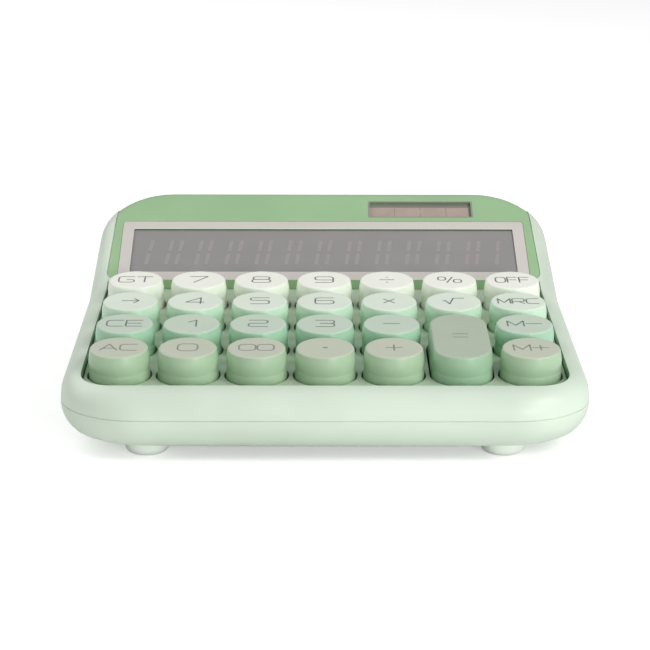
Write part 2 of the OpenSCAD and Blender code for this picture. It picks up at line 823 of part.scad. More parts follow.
module lcd_bracket() {
    glass_under = glass_top - glass_t;
    color("#d7dbd5") difference() {
        on_face() difference() {
            face_plate(glass_w + 2 * bracket_margin, glass_front - 1.6,
                glass_l + 3.2, bracket_top, bracket_t, 1.5);
            face_plate(glass_w + 4 * fit_gap, glass_front - 2 * fit_gap,
                glass_l + 4 * fit_gap, 0, -glass_under + fit_gap, 0.5);
            face_plate(view_w - 4, view_s + 1, view_l - 2, 0, deep / 4, 1);
        }
        bracket_screw_places() translate([0, 0, -deep / 2])
            cylinder(d = tap_d + 0.4, h = deep, $fn = round_fn);
    }
}

module bracket_screws() {
    color("silver") bracket_screw_places()
        translate([0, 0, bracket_top - bracket_t - fit_gap]) small_screw(bracket_t + 1.4);
}

// The film that joins the glass to the board: down through the bracket, then forward
module lcd_ribbon() {
    film_w = 70;
    film_t = 0.25;
    bend_r = 2;
    bond_in = 4;
    overlap = 3;
    under = glass_top - glass_t - fit_gap;
    front_y = tray_rear + (view_s + bond_in) * cos(face_slope);
    function under_glass(y) = face_rise + (under + (y - tray_rear) * sin(face_slope)) / cos(face_slope);
    low_z = switch_z + fit_gap;
    centre = [front_y - bend_r, low_z + film_t + bend_r];
    function bend(r, from, to) = [for (i = [0:6])
        let (a = from + (to - from) * i / 6) centre + r * [cos(a), sin(a)]];
    end_y = board_rear - overlap;
    color("#c58f4a") on_deck() translate([-film_w / 2, 0, 0]) rotate([90, 0, 90])
        linear_extrude(film_w) polygon(concat(
            [[front_y, under_glass(front_y)]], bend(bend_r, 0, -90),
            [[end_y, low_z + film_t], [end_y, low_z]], bend(bend_r + film_t, -90, 0),
            [[front_y + film_t, under_glass(front_y + film_t)]]));
}

// ---------- battery ----------

module battery_cell() {
    button_r = 1.9;
    button_h = 0.8;
    color("#3b6fa0") translate([cell_x, cell_y, cell_z]) rotate([0, 90, 0]) {
        cylinder(d = cell_d, h = cell_len, center = true, $fn = round_fn);
        cylinder(r = button_r, h = cell_len / 2 + button_h, $fn = round_fn);
    }
}

positive_x = cell_x + cell_len / 2 + 0.8 + fit_gap;
negative_x = cell_x - cell_len / 2 - fit_gap;

module battery_contacts() {
    wall_x = bay_half_w - fit_gap;
    color("gold") {
        for (side = [-1, 1]) translate([side * (wall_x - contact_t / 2), cell_y, cell_z])
            cube([contact_t, contact_w, contact_w], center = true);
        translate([positive_x, cell_y, cell_z]) rotate([0, 90, 0])
            cylinder(r = 2, h = wall_x - contact_t / 2 - positive_x, $fn = round_fn);
    }
}

// A conical coil: rings of points along a helix that widens towards the wall
module battery_spring() {
    sides = 6;
    steps = 50;
    start_r = 2;
    end_r = 3.4;
    from_x = negative_x - spring_wire_r;
    to_x = -bay_half_w + fit_gap + contact_t + spring_wire_r + fit_gap;
    function spot(i) = let (a = 360 * spring_turns * i / steps,
        r = start_r + (end_r - start_r) * i / steps)
        [from_x + (to_x - from_x) * i / steps, cell_y + r * cos(a), cell_z + r * sin(a)];
    points = [for (i = [0:steps], k = [0:sides - 1])
        let (a = 360 * spring_turns * i / steps, b = 360 * k / sides)
            spot(i) + spring_wire_r * [sin(b), cos(b) * cos(a), cos(b) * sin(a)]];
    faces = concat(
        [[for (k = [0:sides - 1]) k]],
        [[for (k = [sides - 1:-1:0]) steps * sides + k]],
        [for (i = [0:steps - 1], k = [0:sides - 1])
            let (next = (k + 1) % sides)
                [i * sides + next, i * sides + k, (i + 1) * sides + k, (i + 1) * sides + next]]);
    color("silver") polyhedron(points, faces, convexity = 6);
}

// ---------- feet and screws ----------

module foot(x, y) {
    base_r = (foot_d - foot_taper) / 2;
    color("#dfeedb") translate([x, y, 0]) rotate_extrude($fn = round_fn) {
        polygon([[0, 0], [base_r - foot_edge_r, 0], [base_r - foot_edge_r, foot_edge_r],
            [base_r, foot_edge_r], [foot_d / 2, foot_h], [foot_d / 2, foot_seat_z - fit_gap],
            [0, foot_seat_z - fit_gap]]);
        intersection() {
            translate([base_r - foot_edge_r, foot_edge_r]) circle(foot_edge_r, $fn = round_fn);
            square([base_r, foot_edge_r + hair]);
        }
    }
}

module case_screw() {
    translate([0, 0, screw_seat_z]) {
        translate([0, 0, -screw_head_h / 2])
            cylinder(d = screw_d, h = screw_len + screw_head_h / 2, $fn = round_fn);
        difference() {
            translate([0, 0, -screw_head_h]) cylinder(d = screw_head_d, h = screw_head_h - fit_gap,
                $fn = round_fn);
            translate([0, 0, -screw_head_h - hair]) for (turn = [0, 90]) rotate([0, 0, turn])
                translate([-1.2, -0.3, 0]) cube([2.4, 0.6, 0.8]);
        }
    }
}

module case_screws() {
    color("silver") both_sides() {
        translate([front_screw_x, front_screw_y]) case_screw();
        translate([foot_x, foot_y]) case_screw();
    }
}

upper_shell();
lower_shell();
key_deck();
display_panel();
display_lens();
solar_window();
solar_cell();
lcd_glass();
lcd_bracket();
lcd_ribbon();
main_board();
switch_housings();
equals_guides();
board_screws();
bracket_screws();
case_screws();
battery_cell();
battery_contacts();
battery_spring();
battery_door();
foot(-foot_x, -foot_y);  // foot_front_left
foot(foot_x, -foot_y);  // foot_front_right
foot(-foot_x, foot_y);  // foot_rear_left
foot(foot_x, foot_y);  // foot_rear_right
equals_key();
for (name = KEY_NAMES) key(name);
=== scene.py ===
"""Twelve-digit desk calculator with round full-travel keys, dressed round its CAD frame.

Lengths are written in millimetres and turned into metres where a mesh is made.
Three frames are used, as in the solids: the case (x to the right, y to the rear, z up),
the key deck, tilted on the case, and the display face, tilted once more on the deck.
"""
import json
import logging
import math
from collections.abc import Callable
from dataclasses import dataclass
from enum import Enum

import bmesh
import bpy
import numpy as np
from mathutils import Matrix, Vector

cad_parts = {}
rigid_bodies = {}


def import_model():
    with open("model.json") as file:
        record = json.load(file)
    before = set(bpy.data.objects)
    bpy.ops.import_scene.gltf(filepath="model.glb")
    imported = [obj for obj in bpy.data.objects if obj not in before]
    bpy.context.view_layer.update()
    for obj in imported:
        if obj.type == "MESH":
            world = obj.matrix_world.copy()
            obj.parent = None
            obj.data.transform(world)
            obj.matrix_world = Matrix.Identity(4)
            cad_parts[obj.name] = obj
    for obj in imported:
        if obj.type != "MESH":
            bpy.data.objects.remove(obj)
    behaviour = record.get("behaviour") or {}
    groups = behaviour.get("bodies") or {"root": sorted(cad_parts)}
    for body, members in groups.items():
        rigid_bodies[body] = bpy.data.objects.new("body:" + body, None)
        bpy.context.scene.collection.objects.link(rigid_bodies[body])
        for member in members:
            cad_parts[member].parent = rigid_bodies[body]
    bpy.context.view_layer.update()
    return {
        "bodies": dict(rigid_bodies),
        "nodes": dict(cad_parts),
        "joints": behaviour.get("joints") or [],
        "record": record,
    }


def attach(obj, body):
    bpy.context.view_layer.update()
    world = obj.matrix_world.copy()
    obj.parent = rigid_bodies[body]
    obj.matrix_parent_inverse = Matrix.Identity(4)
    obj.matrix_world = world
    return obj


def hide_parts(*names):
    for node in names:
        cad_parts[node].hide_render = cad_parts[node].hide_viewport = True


LOG = logging.getLogger("calculator")
MM = 0.001
MICROMETRE = 1e-6
CREASE_ANGLE = 22.0
BODY = "case"

Point = tuple[float, float]
Tone = tuple[int, int, int]
Colour = tuple[float, float, float, float]
Placing = Callable[[np.ndarray], np.ndarray]


# ---------- frames and sizes


@dataclass(frozen=True)
class CaseSizes:
    """Sizes of the case and its tilted frames, in millimetres and degrees."""

    half_w: float = 73.65
    half_d: float = 73.5525
    corner_r: float = 23.0
    tray_r: float = 10.0
    tray_half_w: float = 67.35
    tray_front: float = -14.7
    seam_z: float = 12.7
    deck_y: float = -50.864
    deck_z: float = 19.03
    deck_tilt: float = 5.0
    face_slope: float = 17.9
    tray_rear: float = 72.0
    face_rise: float = 2.4
    key_rise: float = 8.2


SIZES = CaseSizes()


def tilted(points: np.ndarray, tilt: float, y: float, z: float) -> np.ndarray:
    """Turns points about the x axis and moves them.

    Formula: (x, y, z) -> (x, y0 + y cos t - z sin t, z0 + y sin t + z cos t).

    Args:
        points: Points as rows of x, y, z.
        tilt: Angle in degrees.
        y: Where the frame's origin goes, to the rear.
        z: Where the frame's origin goes, upwards.

    Returns:
        The moved points, as rows.
    """
    c, s = math.cos(math.radians(tilt)), math.sin(math.radians(tilt))
    out = np.empty_like(points, dtype=float)
    out[..., 0] = points[..., 0]
    out[..., 1] = y + points[..., 1] * c - points[..., 2] * s
    out[..., 2] = z + points[..., 1] * s + points[..., 2] * c
    return out


def on_deck(points: np.ndarray) -> np.ndarray:
    """Takes points of the key deck's frame to the case's frame."""
    return tilted(points, SIZES.deck_tilt, SIZES.deck_y, SIZES.deck_z)


def on_face(points: np.ndarray) -> np.ndarray:
    """Takes points of the display face's frame to the case's frame."""
    return on_deck(tilted(points, SIZES.face_slope, SIZES.tray_rear, SIZES.face_rise))


def as_is(points: np.ndarray) -> np.ndarray:
    """Leaves points in the case's frame."""
    return points


# ---------- shader maths


class Wire:
    """A value inside a material: a node's output socket with arithmetic on it."""

    def __init__(self, nodes: "Nodes", socket: bpy.types.NodeSocket) -> None:
        """Keeps the nodes that own the socket, and the socket."""
        self.nodes = nodes
        self.socket = socket

    def _math(self, operation: str, first: object, second: object) -> "Wire":
        """Adds one Math node that works on two values."""
        return self.nodes.node("ShaderNodeMath", {"operation": operation}, {0: first, 1: second})

    def __add__(self, other: object) -> "Wire":
        """self + other, either way round."""
        return self._math("ADD", self, other)

    def __sub__(self, other: object) -> "Wire":
        """self - other."""
        return self._math("SUBTRACT", self, other)

    def __rsub__(self, other: object) -> "Wire":
        """other - self."""
        return self._math("SUBTRACT", other, self)

    def __mul__(self, other: object) -> "Wire":
        """self * other, either way round."""
        return self._math("MULTIPLY", self, other)

    __radd__, __rmul__ = __add__, __mul__

    def modulo(self, period: float) -> "Wire":
        """The remainder of self after whole periods, never negative."""
        return self._math("FLOORED_MODULO", self, period)

    def absolute(self) -> "Wire":
        """The size of self without its sign."""
        return self._math("ABSOLUTE", self, 0.0)

    def ramp(self, low: float, high: float) -> "Wire":
        """0 below low, 1 above high and a smooth step between them."""
        return self.nodes.node(
            "ShaderNodeMapRange", {"interpolation_type": "SMOOTHSTEP"},
            {"Value": self, "From Min": low, "From Max": high})


class Nodes:
    """The nodes of a material or of the world."""

    def __init__(self, tree: bpy.types.NodeTree) -> None:
        """Keeps the tree and empties it."""
        self.tree = tree
        self.tree.nodes.clear()

    def node(self, kind: str, settings: dict, inputs: dict, output: object = 0) -> Wire:
        """Adds any node.

        Args:
            kind: The node's type name.
            settings: The node's own properties, set before its sockets.
            inputs: Values or wires by socket name or number.
            output: Name or number of the output that is wanted.

        Returns:
            The output, as a wire.
        """
        node = self.tree.nodes.new(kind)
        for key, value in settings.items():
            setattr(node, key, value)
        for key, value in inputs.items():
            if isinstance(value, Wire):
                self.tree.links.new(value.socket, node.inputs[key])
            else:
                node.inputs[key].default_value = value
        return Wire(self, node.outputs[output])

    def mix(self, mask: Wire, first: object, second: object) -> Wire:
        """Goes from the first colour to the second as mask goes from 0 to 1."""
        return self.node(
            "ShaderNodeMix", {"data_type": "RGBA"}, {0: mask, 6: first, 7: second}, 2)

    def finish(self, kind: str, wire: Wire) -> None:
        """Ends the tree with its output node, fed with a surface."""
        self.tree.links.new(wire.socket, self.tree.nodes.new(kind).inputs["Surface"])


class Recipe(Nodes):
    """A material under construction, with its Principled shader as the last step."""

    def __init__(self, name: str) -> None:
        """Starts a material with nothing but a shader and an output."""
        self.material = bpy.data.materials.new(name)
        self.material.use_nodes = True
        super().__init__(self.material.node_tree)
        self.shader = self.tree.nodes.new("ShaderNodeBsdfPrincipled")
        self.finish("ShaderNodeOutputMaterial", Wire(self, self.shader.outputs["BSDF"]))

    def place(self) -> Wire:
        """The point on the piece, in metres, in the case's frame."""
        return self.node("ShaderNodeTexCoord", {}, {}, "Object")

    def along(self, direction: tuple[float, float, float]) -> Wire:
        """The point's distance along a direction, in millimetres."""
        scaled = tuple(component / MM for component in direction)
        return self.node(
            "ShaderNodeVectorMath", {"operation": "DOT_PRODUCT"},
            {0: self.place(), 1: scaled}, "Value")

    def noise(self, size: float, roughness: float = 0.5, detail: float = 2.0) -> Wire:
        """Cloudy noise from 0 to 1 whose patches are about size millimetres."""
        return self.node(
            "ShaderNodeTexNoise", {},
            {"Vector": self.place(), "Scale": 1 / (size * MM), "Detail": detail,
             "Roughness": roughness})

    def drift(self, cloud: Wire, first: Colour, second: Colour) -> Wire:
        """Goes softly from the first colour to the second with cloudy noise."""
        return self.mix(cloud.ramp(0.3, 0.7), first, second)

    def bump(self, height: Wire, depth: float) -> Wire:
        """A normal from a height of 0 to 1 that stands for depth millimetres."""
        return self.node(
            "ShaderNodeBump", {}, {"Height": height, "Distance": depth * MM, "Strength": 1.0})

    def set(self, **values: object) -> bpy.types.Material:
        """Sets the shader's sockets.

        Args:
            **values: Values or wires by socket name, with _ for a space.

        Returns:
            The finished material.
        """
        for key, value in values.items():
            socket = self.shader.inputs[key.replace("_", " ")]
            if isinstance(value, Wire):
                self.tree.links.new(value.socket, socket)
            else:
                socket.default_value = value
        return self.material


def linear(tone: Tone, factor: float = 1.0) -> Colour:
    """The shader's linear colour of a tone written from 0 to 255, times a factor."""
    srgb = np.array(tone) / 255.0
    values = np.where(srgb <= 0.04045, srgb / 12.92, ((srgb + 0.055) / 1.055) ** 2.4) * factor
    return (*values.tolist(), 1.0)


# ---------- finishes


@dataclass(frozen=True)
class Finish:
    """What every finish has: the material's name and its main tone."""

    name: str
    tone: Tone

    def build(self) -> bpy.types.Material:
        """Makes the material."""
        raise NotImplementedError

    def material(self) -> bpy.types.Material:
        """The material, which is made when it is asked for the first time."""
        return bpy.data.materials.get(self.name) or self.build()


@dataclass(frozen=True)
class MouldedPlastic(Finish):
    """Injection-moulded plastic with a fine spark texture and slight colour drift."""

    roughness: float = 0.42
    grain: float = 0.35
    grain_depth: float = 0.012
    drift: float = 0.05
    patch: float = 28.0

    def build(self) -> bpy.types.Material:
        """Makes the material."""
        recipe = Recipe(self.name)
        cloud, grain = recipe.noise(self.patch), recipe.noise(self.grain, 0.6)
        dark, light = 1 - self.drift, 1 + self.drift / 2
        return recipe.set(
            Base_Color=recipe.drift(cloud, linear(self.tone, dark), linear(self.tone, light)),
            Roughness=self.roughness + (grain - 0.5) * 0.10 + (cloud - 0.5) * 0.06,
            Normal=recipe.bump(grain, self.grain_depth), IOR=1.5)


@dataclass(frozen=True)
class KeyPlastic(Finish):
    """Keycap plastic: a matte top over a smoother, more saturated side; the top's paler, greyer
    tone is a painted sheen of the white surroundings.
    """

    side: Tone
    edge: float = 0.5
    grain: float = 0.3
    grain_depth: float = 0.012
    patch: float = 9.0

    def build(self) -> bpy.types.Material:
        """Makes the material; the height above the deck tells the top from the side."""
        recipe = Recipe(self.name)
        tilt = math.radians(SIZES.deck_tilt)
        origin = SIZES.deck_z * math.cos(tilt) - SIZES.deck_y * math.sin(tilt)
        height = recipe.along((0.0, -math.sin(tilt), math.cos(tilt))) - origin
        top = height.ramp(SIZES.key_rise - self.edge, SIZES.key_rise - 0.02)
        cloud, grain = recipe.noise(self.patch), recipe.noise(self.grain, 0.6)
        side = recipe.drift(cloud, linear(self.side, 0.97), linear(self.side, 1.02))
        # The top's paler, greyer tone is a painted sheen of the white surroundings.
        face = recipe.drift(cloud, linear(self.tone, 0.98), linear(self.tone, 1.01))
        return recipe.set(
            Base_Color=recipe.mix(top, side, face),
            Roughness=0.3 + top * 0.32 + (grain - 0.5) * 0.10,
            Normal=recipe.bump(grain, self.grain_depth), IOR=1.5)


@dataclass(frozen=True)
class InkPrint(Finish):
    """Thin printed or engraved ink of a legend."""

    def build(self) -> bpy.types.Material:
        """Makes the material."""
        recipe = Recipe(self.name)
        speckle = recipe.noise(0.5)
        return recipe.set(
            Base_Color=recipe.drift(speckle, linear(self.tone), linear(self.tone, 1.15)),
            Roughness=0.55 + (speckle - 0.5) * 0.1)


@dataclass(frozen=True)
class GlossPlate(Finish):
    """Smooth plate with a clear coat, such as a lens border, liquid crystal or a film."""

    second: Tone
    roughness: float = 0.2
    patch: float = 20.0
    coat: float = 0.4

    def build(self) -> bpy.types.Material:
        """Makes the material."""
        recipe = Recipe(self.name)
        cloud = recipe.noise(self.patch, detail=3.0)
        return recipe.set(
            Base_Color=recipe.drift(cloud, linear(self.tone), linear(self.second)),
            Roughness=self.roughness + (cloud - 0.5) * 0.05,
            Coat_Weight=self.coat, Coat_Roughness=0.12, IOR=1.5)


@dataclass(frozen=True)
class SolarSilicon(Finish):
    """Amorphous silicon strips with thin darker lines between them."""

    line: Tone
    centre: float
    pitch: float
    line_w: float = 0.16

    def build(self) -> bpy.types.Material:
        """Makes the material: lines at whole pitches across the window."""
        recipe = Recipe(self.name)
        across = recipe.along((1.0, 0.0, 0.0)) - self.centre
        distance = (across.modulo(self.pitch) - self.pitch / 2).absolute()
        line = distance.ramp(self.pitch / 2 - self.line_w, self.pitch / 2 - self.line_w / 2)
        cloud = recipe.noise(6.0)
        body = recipe.drift(cloud, linear(self.tone), linear(self.tone, 1.12))
        return recipe.set(
            Base_Color=recipe.mix(line, body, linear(self.line)),
            Roughness=0.22 + cloud * 0.08, Coat_Weight=0.5, Coat_Roughness=0.08)


@dataclass(frozen=True)
class BareMetal(Finish):
    """Plated or stainless metal with fine turning marks."""

    roughness: float = 0.3

    def build(self) -> bpy.types.Material:
        """Makes the material."""
        recipe = Recipe(self.name)
        marks, cloud = recipe.noise(0.25), recipe.noise(3.0)
        return recipe.set(
            Base_Color=recipe.drift(cloud, linear(self.tone), linear(self.tone, 0.85)),
            Metallic=1.0, Roughness=self.roughness + (marks - 0.5) * 0.15,
            Normal=recipe.bump(marks, 0.004))


@dataclass(frozen=True)
class CircuitBoard(Finish):
    """Green solder mask over a grid of brighter tracks."""

    track: Tone
    pitch: float = 2.54
    track_w: float = 0.6

    def build(self) -> bpy.types.Material:
        """Makes the material: tracks at whole pitches both ways, broken up by noise."""
        recipe = Recipe(self.name)
        gate = recipe.noise(7.0).ramp(0.48, 0.52)
        lines = []
        for way in ((1.0, 0.0, 0.0), (0.0, 1.0, 0.0)):
            off = (recipe.along(way).modulo(self.pitch) - self.pitch / 2).absolute()
            lines.append(1 - off.ramp(self.track_w / 2 - 0.05, self.track_w / 2 + 0.05))
        tracks = lines[0] * gate + lines[1] * (1 - gate)
        return recipe.set(
            Base_Color=recipe.mix(tracks, linear(self.tone), linear(self.track)),
            Roughness=0.35 + gate * 0.05, Normal=recipe.bump(tracks, 0.03))


@dataclass(frozen=True)
class StripedWrap(Finish):
    """Plastic sleeve of a battery cell: a plain body with one band at its positive end."""

    band: Tone
    band_x: float

    def build(self) -> bpy.types.Material:
        """Makes the material."""
        recipe = Recipe(self.name)
        band = recipe.along((1.0, 0.0, 0.0)).ramp(self.band_x, self.band_x + 0.1)
        cloud = recipe.noise(5.0)
        return recipe.set(
            Base_Color=recipe.mix(band, linear(self.tone), linear(self.band)),
            Roughness=0.3 + cloud * 0.08)


# ---------- meshes


class Skin:
    """A surface in the making: points in millimetres, and faces with finish numbers."""

    def __init__(self) -> None:
        """Starts with no points and no faces."""
        self.points: list[np.ndarray] = []
        self.faces: list[list[int]] = []
        self.finishes: list[int] = []
        self.count = 0

    def rings(self, rings: np.ndarray, finish: list[int] | None = None,
              poles: bool = True) -> "Skin":
        """Adds a surface through closed rings.

        Formula: point (i, j) is ring i at step j; each face joins two steps of two
        neighbouring rings, and each end ring is closed onto its own middle.

        Args:
            rings: Array of rings, steps and x, y, z.
            finish: Finish number of each strip, the two end fans included.
            poles: Whether the end rings are closed.

        Returns:
            This skin.
        """
        k, n, _ = rings.shape
        strips = k - 1
        finish = finish or [0] * (strips + 2)
        i, j = np.meshgrid(np.arange(strips), np.arange(n), indexing="ij")
        after = (j + 1) % n
        quads = np.stack([i * n + j, i * n + after, (i + 1) * n + after, (i + 1) * n + j], -1)
        faces = (quads.reshape(-1, 4) + self.count).tolist()
        marks = np.repeat(np.array(finish[1:-1]), n).tolist()
        points = rings.reshape(-1, 3)
        if poles:
            middles = np.stack([rings[0].mean(0), rings[-1].mean(0)])
            points = np.concatenate([points, middles])
            step = np.arange(n)
            turn = (step + 1) % n
            first = np.stack([np.full(n, k * n), turn, step], -1) + self.count
            last = np.stack([np.full(n, k * n + 1), (k - 1) * n + step, (k - 1) * n + turn], -1)
            faces += first.tolist() + (last + self.count).tolist()
            marks += [finish[0]] * n + [finish[-1]] * n
        self.points.append(points)
        self.faces += faces
        self.finishes += marks
        self.count += len(points)
        return self

    def piece(self, name: str, place: Placing = as_is, sharp: float = 35.0) -> bpy.types.Object:
        """Makes the object.

        Args:
            name: The piece's name.
            place: Function that takes the points to the case's frame.
            sharp: Edges that turn by more than this many degrees stay sharp.

        Returns:
            The object, at the origin, with its place in its mesh.
        """
        mesh = bpy.data.meshes.new(name)
        points = place(np.concatenate(self.points)) * MM
        mesh.from_pydata(points.tolist(), [], self.faces)
        mesh.polygons.foreach_set("material_index", self.finishes)
        return finished(name, mesh, sharp, recalculate=True)


def placed(name: str, data: bpy.types.ID) -> bpy.types.Object:
    """Makes an object from its data and puts it into the scene."""
    thing = bpy.data.objects.new(name, data)
    bpy.context.scene.collection.objects.link(thing)
    return thing


def read(items: bpy.types.bpy_prop_collection, key: str, kind: type = float) -> np.ndarray:
    """Reads a triple of numbers from each item of a mesh, as rows."""
    values = np.empty(len(items) * 3, dtype=kind)
    items.foreach_get(key, values)
    return values.reshape(-1, 3)


def finished(name: str, mesh: bpy.types.Mesh, sharp: float,
             recalculate: bool = False) -> bpy.types.Object:
    """Puts a mesh into the scene, with smooth faces and sharp edges by angle.

    Args:
        name: The piece's name.
        mesh: The mesh, in metres, in the case's frame.
        sharp: Angle in degrees above which an edge stays sharp.
        recalculate: Whether the normals are worked out again, on closed shells.

    Returns:
        The object.
    """
    work = bmesh.new()
    work.from_mesh(mesh)
    if recalculate:
        bmesh.ops.recalc_face_normals(work, faces=work.faces)
    work.to_mesh(mesh)
    work.free()
    mesh.shade_smooth()
    mesh.set_sharp_from_angle(angle=math.radians(sharp))
    piece = placed(name, mesh)
    weighted = piece.modifiers.new("even_shading", "WEIGHTED_NORMAL")
    weighted.keep_sharp = True
    return piece


def merged(name: str, node: bpy.types.Object) -> bpy.types.Mesh:
    """A copy of a CAD node's mesh with its loose triangles joined at their corners.

    Formula: corners that round to the same micrometre are one point, and a triangle that
    then uses a point twice is left out.

    Args:
        name: The new mesh's name.
        node: The CAD node's object.

    Returns:
        The joined mesh, in metres.
    """
    source = node.data
    source.calc_loop_triangles()
    points = read(source.vertices, "co")
    corners = read(source.loop_triangles, "vertices", np.int64)
    _, first, same = np.unique(np.round(points / MICROMETRE).astype(np.int64), axis=0,
                               return_index=True, return_inverse=True)
    faces = same.reshape(-1)[corners]
    whole = (
        (faces[:, 0] != faces[:, 1]) & (faces[:, 1] != faces[:, 2]) & (faces[:, 0] != faces[:, 2]))
    mesh = bpy.data.meshes.new(name)
    mesh.from_pydata(points[first].tolist(), [], faces[whole].tolist())
    mesh.validate()
    return mesh


def moulding(name: str, node: bpy.types.Object,
             sharp: float = CREASE_ANGLE) -> bpy.types.Object:
    """A CAD node's own shape as a new piece, with smooth faces."""
    return finished(name, merged(name, node), sharp)


def round_rect(w: float, l: float, r: float, steps: int = 9) -> np.ndarray:
    """A rectangle with round corners about the origin.

    Formula: corner centre + r (cos a, sin a), with a over one quarter turn a corner.

    Args:
        w: Width.
        l: Length.
        r: Corner radius.
        steps: Points on each corner.

    Returns:
        The outline, as rows of x and y.
    """
    angle = np.linspace(0, math.pi / 2, steps)[None, :] + (math.pi / 2) * np.arange(4)[:, None]
    sign_x = np.array([1, -1, -1, 1])[:, None]
    sign_y = np.array([1, 1, -1, -1])[:, None]
    x = sign_x * (w / 2 - r) + r * np.cos(angle)
    y = sign_y * (l / 2 - r) + r * np.sin(angle)
    return np.stack([x, y], -1).reshape(-1, 2)


def levels(outlines: list[np.ndarray], heights: list[float]) -> np.ndarray:
    """Stacks outlines of x and y at heights, as rings of x, y, z."""
    flat = np.stack(outlines)
    up = np.broadcast_to(np.array(heights)[:, None, None], flat.shape[:2] + (1,))
    return np.concatenate([flat, up], -1)


def around(steps: int) -> np.ndarray:
    """Even angles of one turn, that keep half a step off the axes."""
    return 2 * math.pi * (np.arange(steps) + 0.5) / steps


def lathe(radii: object, heights: object, centre: Point, angle: np.ndarray,
          stretch: float = 0.0) -> np.ndarray:
    """Turns a profile round an upright axis, as rings.

    Formula: (cx + r cos a, cy + r sin a + stretch/2 in the rear half and - stretch/2 in
    the front half, z), so that a stretched profile has straight sides.

    Args:
        radii: Radius of each point of the profile, or of each point at every angle.
        heights: Height of each point of the profile.
        centre: Where the axis stands.
        angle: Angles of the points on each ring.
        stretch: Length of the straight part, along y.

    Returns:
        The rings.
    """
    radius = np.reshape(radii, (len(heights), -1))
    shift = np.where(np.sin(angle) > 0, stretch / 2, -stretch / 2)
    x = centre[0] + radius * np.cos(angle)
    y = centre[1] + radius * np.sin(angle) + shift
    z = np.broadcast_to(np.reshape(heights, (-1, 1)), x.shape)
    return np.stack([x, y, z], -1)


# ---------- legends


def rounded(p: np.ndarray, radius: float, closed: bool) -> np.ndarray:
    """Rounds the corners of a pen stroke.

    Formula: each corner P with the points A and C on its two sides, radius away from it,
    becomes the curve (1-t)^2 A + 2t(1-t) P + t^2 C; the ends of an open stroke stay.

    Args:
        p: Corners of the stroke, as rows of x and y.
        radius: Length taken from each side of a corner.
        closed: Whether the stroke returns to its start.

    Returns:
        The stroke, as rows of x and y.
    """
    before, after = np.roll(p, 1, 0), np.roll(p, -1, 0)
    reach_a = np.linalg.norm(before - p, axis=1, keepdims=True)
    reach_c = np.linalg.norm(after - p, axis=1, keepdims=True)
    a = p + (before - p) / reach_a * np.minimum(radius, reach_a * 0.48)
    c = p + (after - p) / reach_c * np.minimum(radius, reach_c * 0.48)
    t = np.linspace(0, 1, 7)[None, :, None]
    curve = (1 - t) ** 2 * a[:, None] + 2 * t * (1 - t) * p[:, None] + t**2 * c[:, None]
    if closed:
        return curve.reshape(-1, 2)
    return np.concatenate([p[:1], curve[1:-1].reshape(-1, 2), p[-1:]])


@dataclass(frozen=True)
class Stroke:
    """One stroke of the pen, in a cell that is one unit wide and high."""

    points: tuple
    radius: float = 0.04
    closed: bool = False


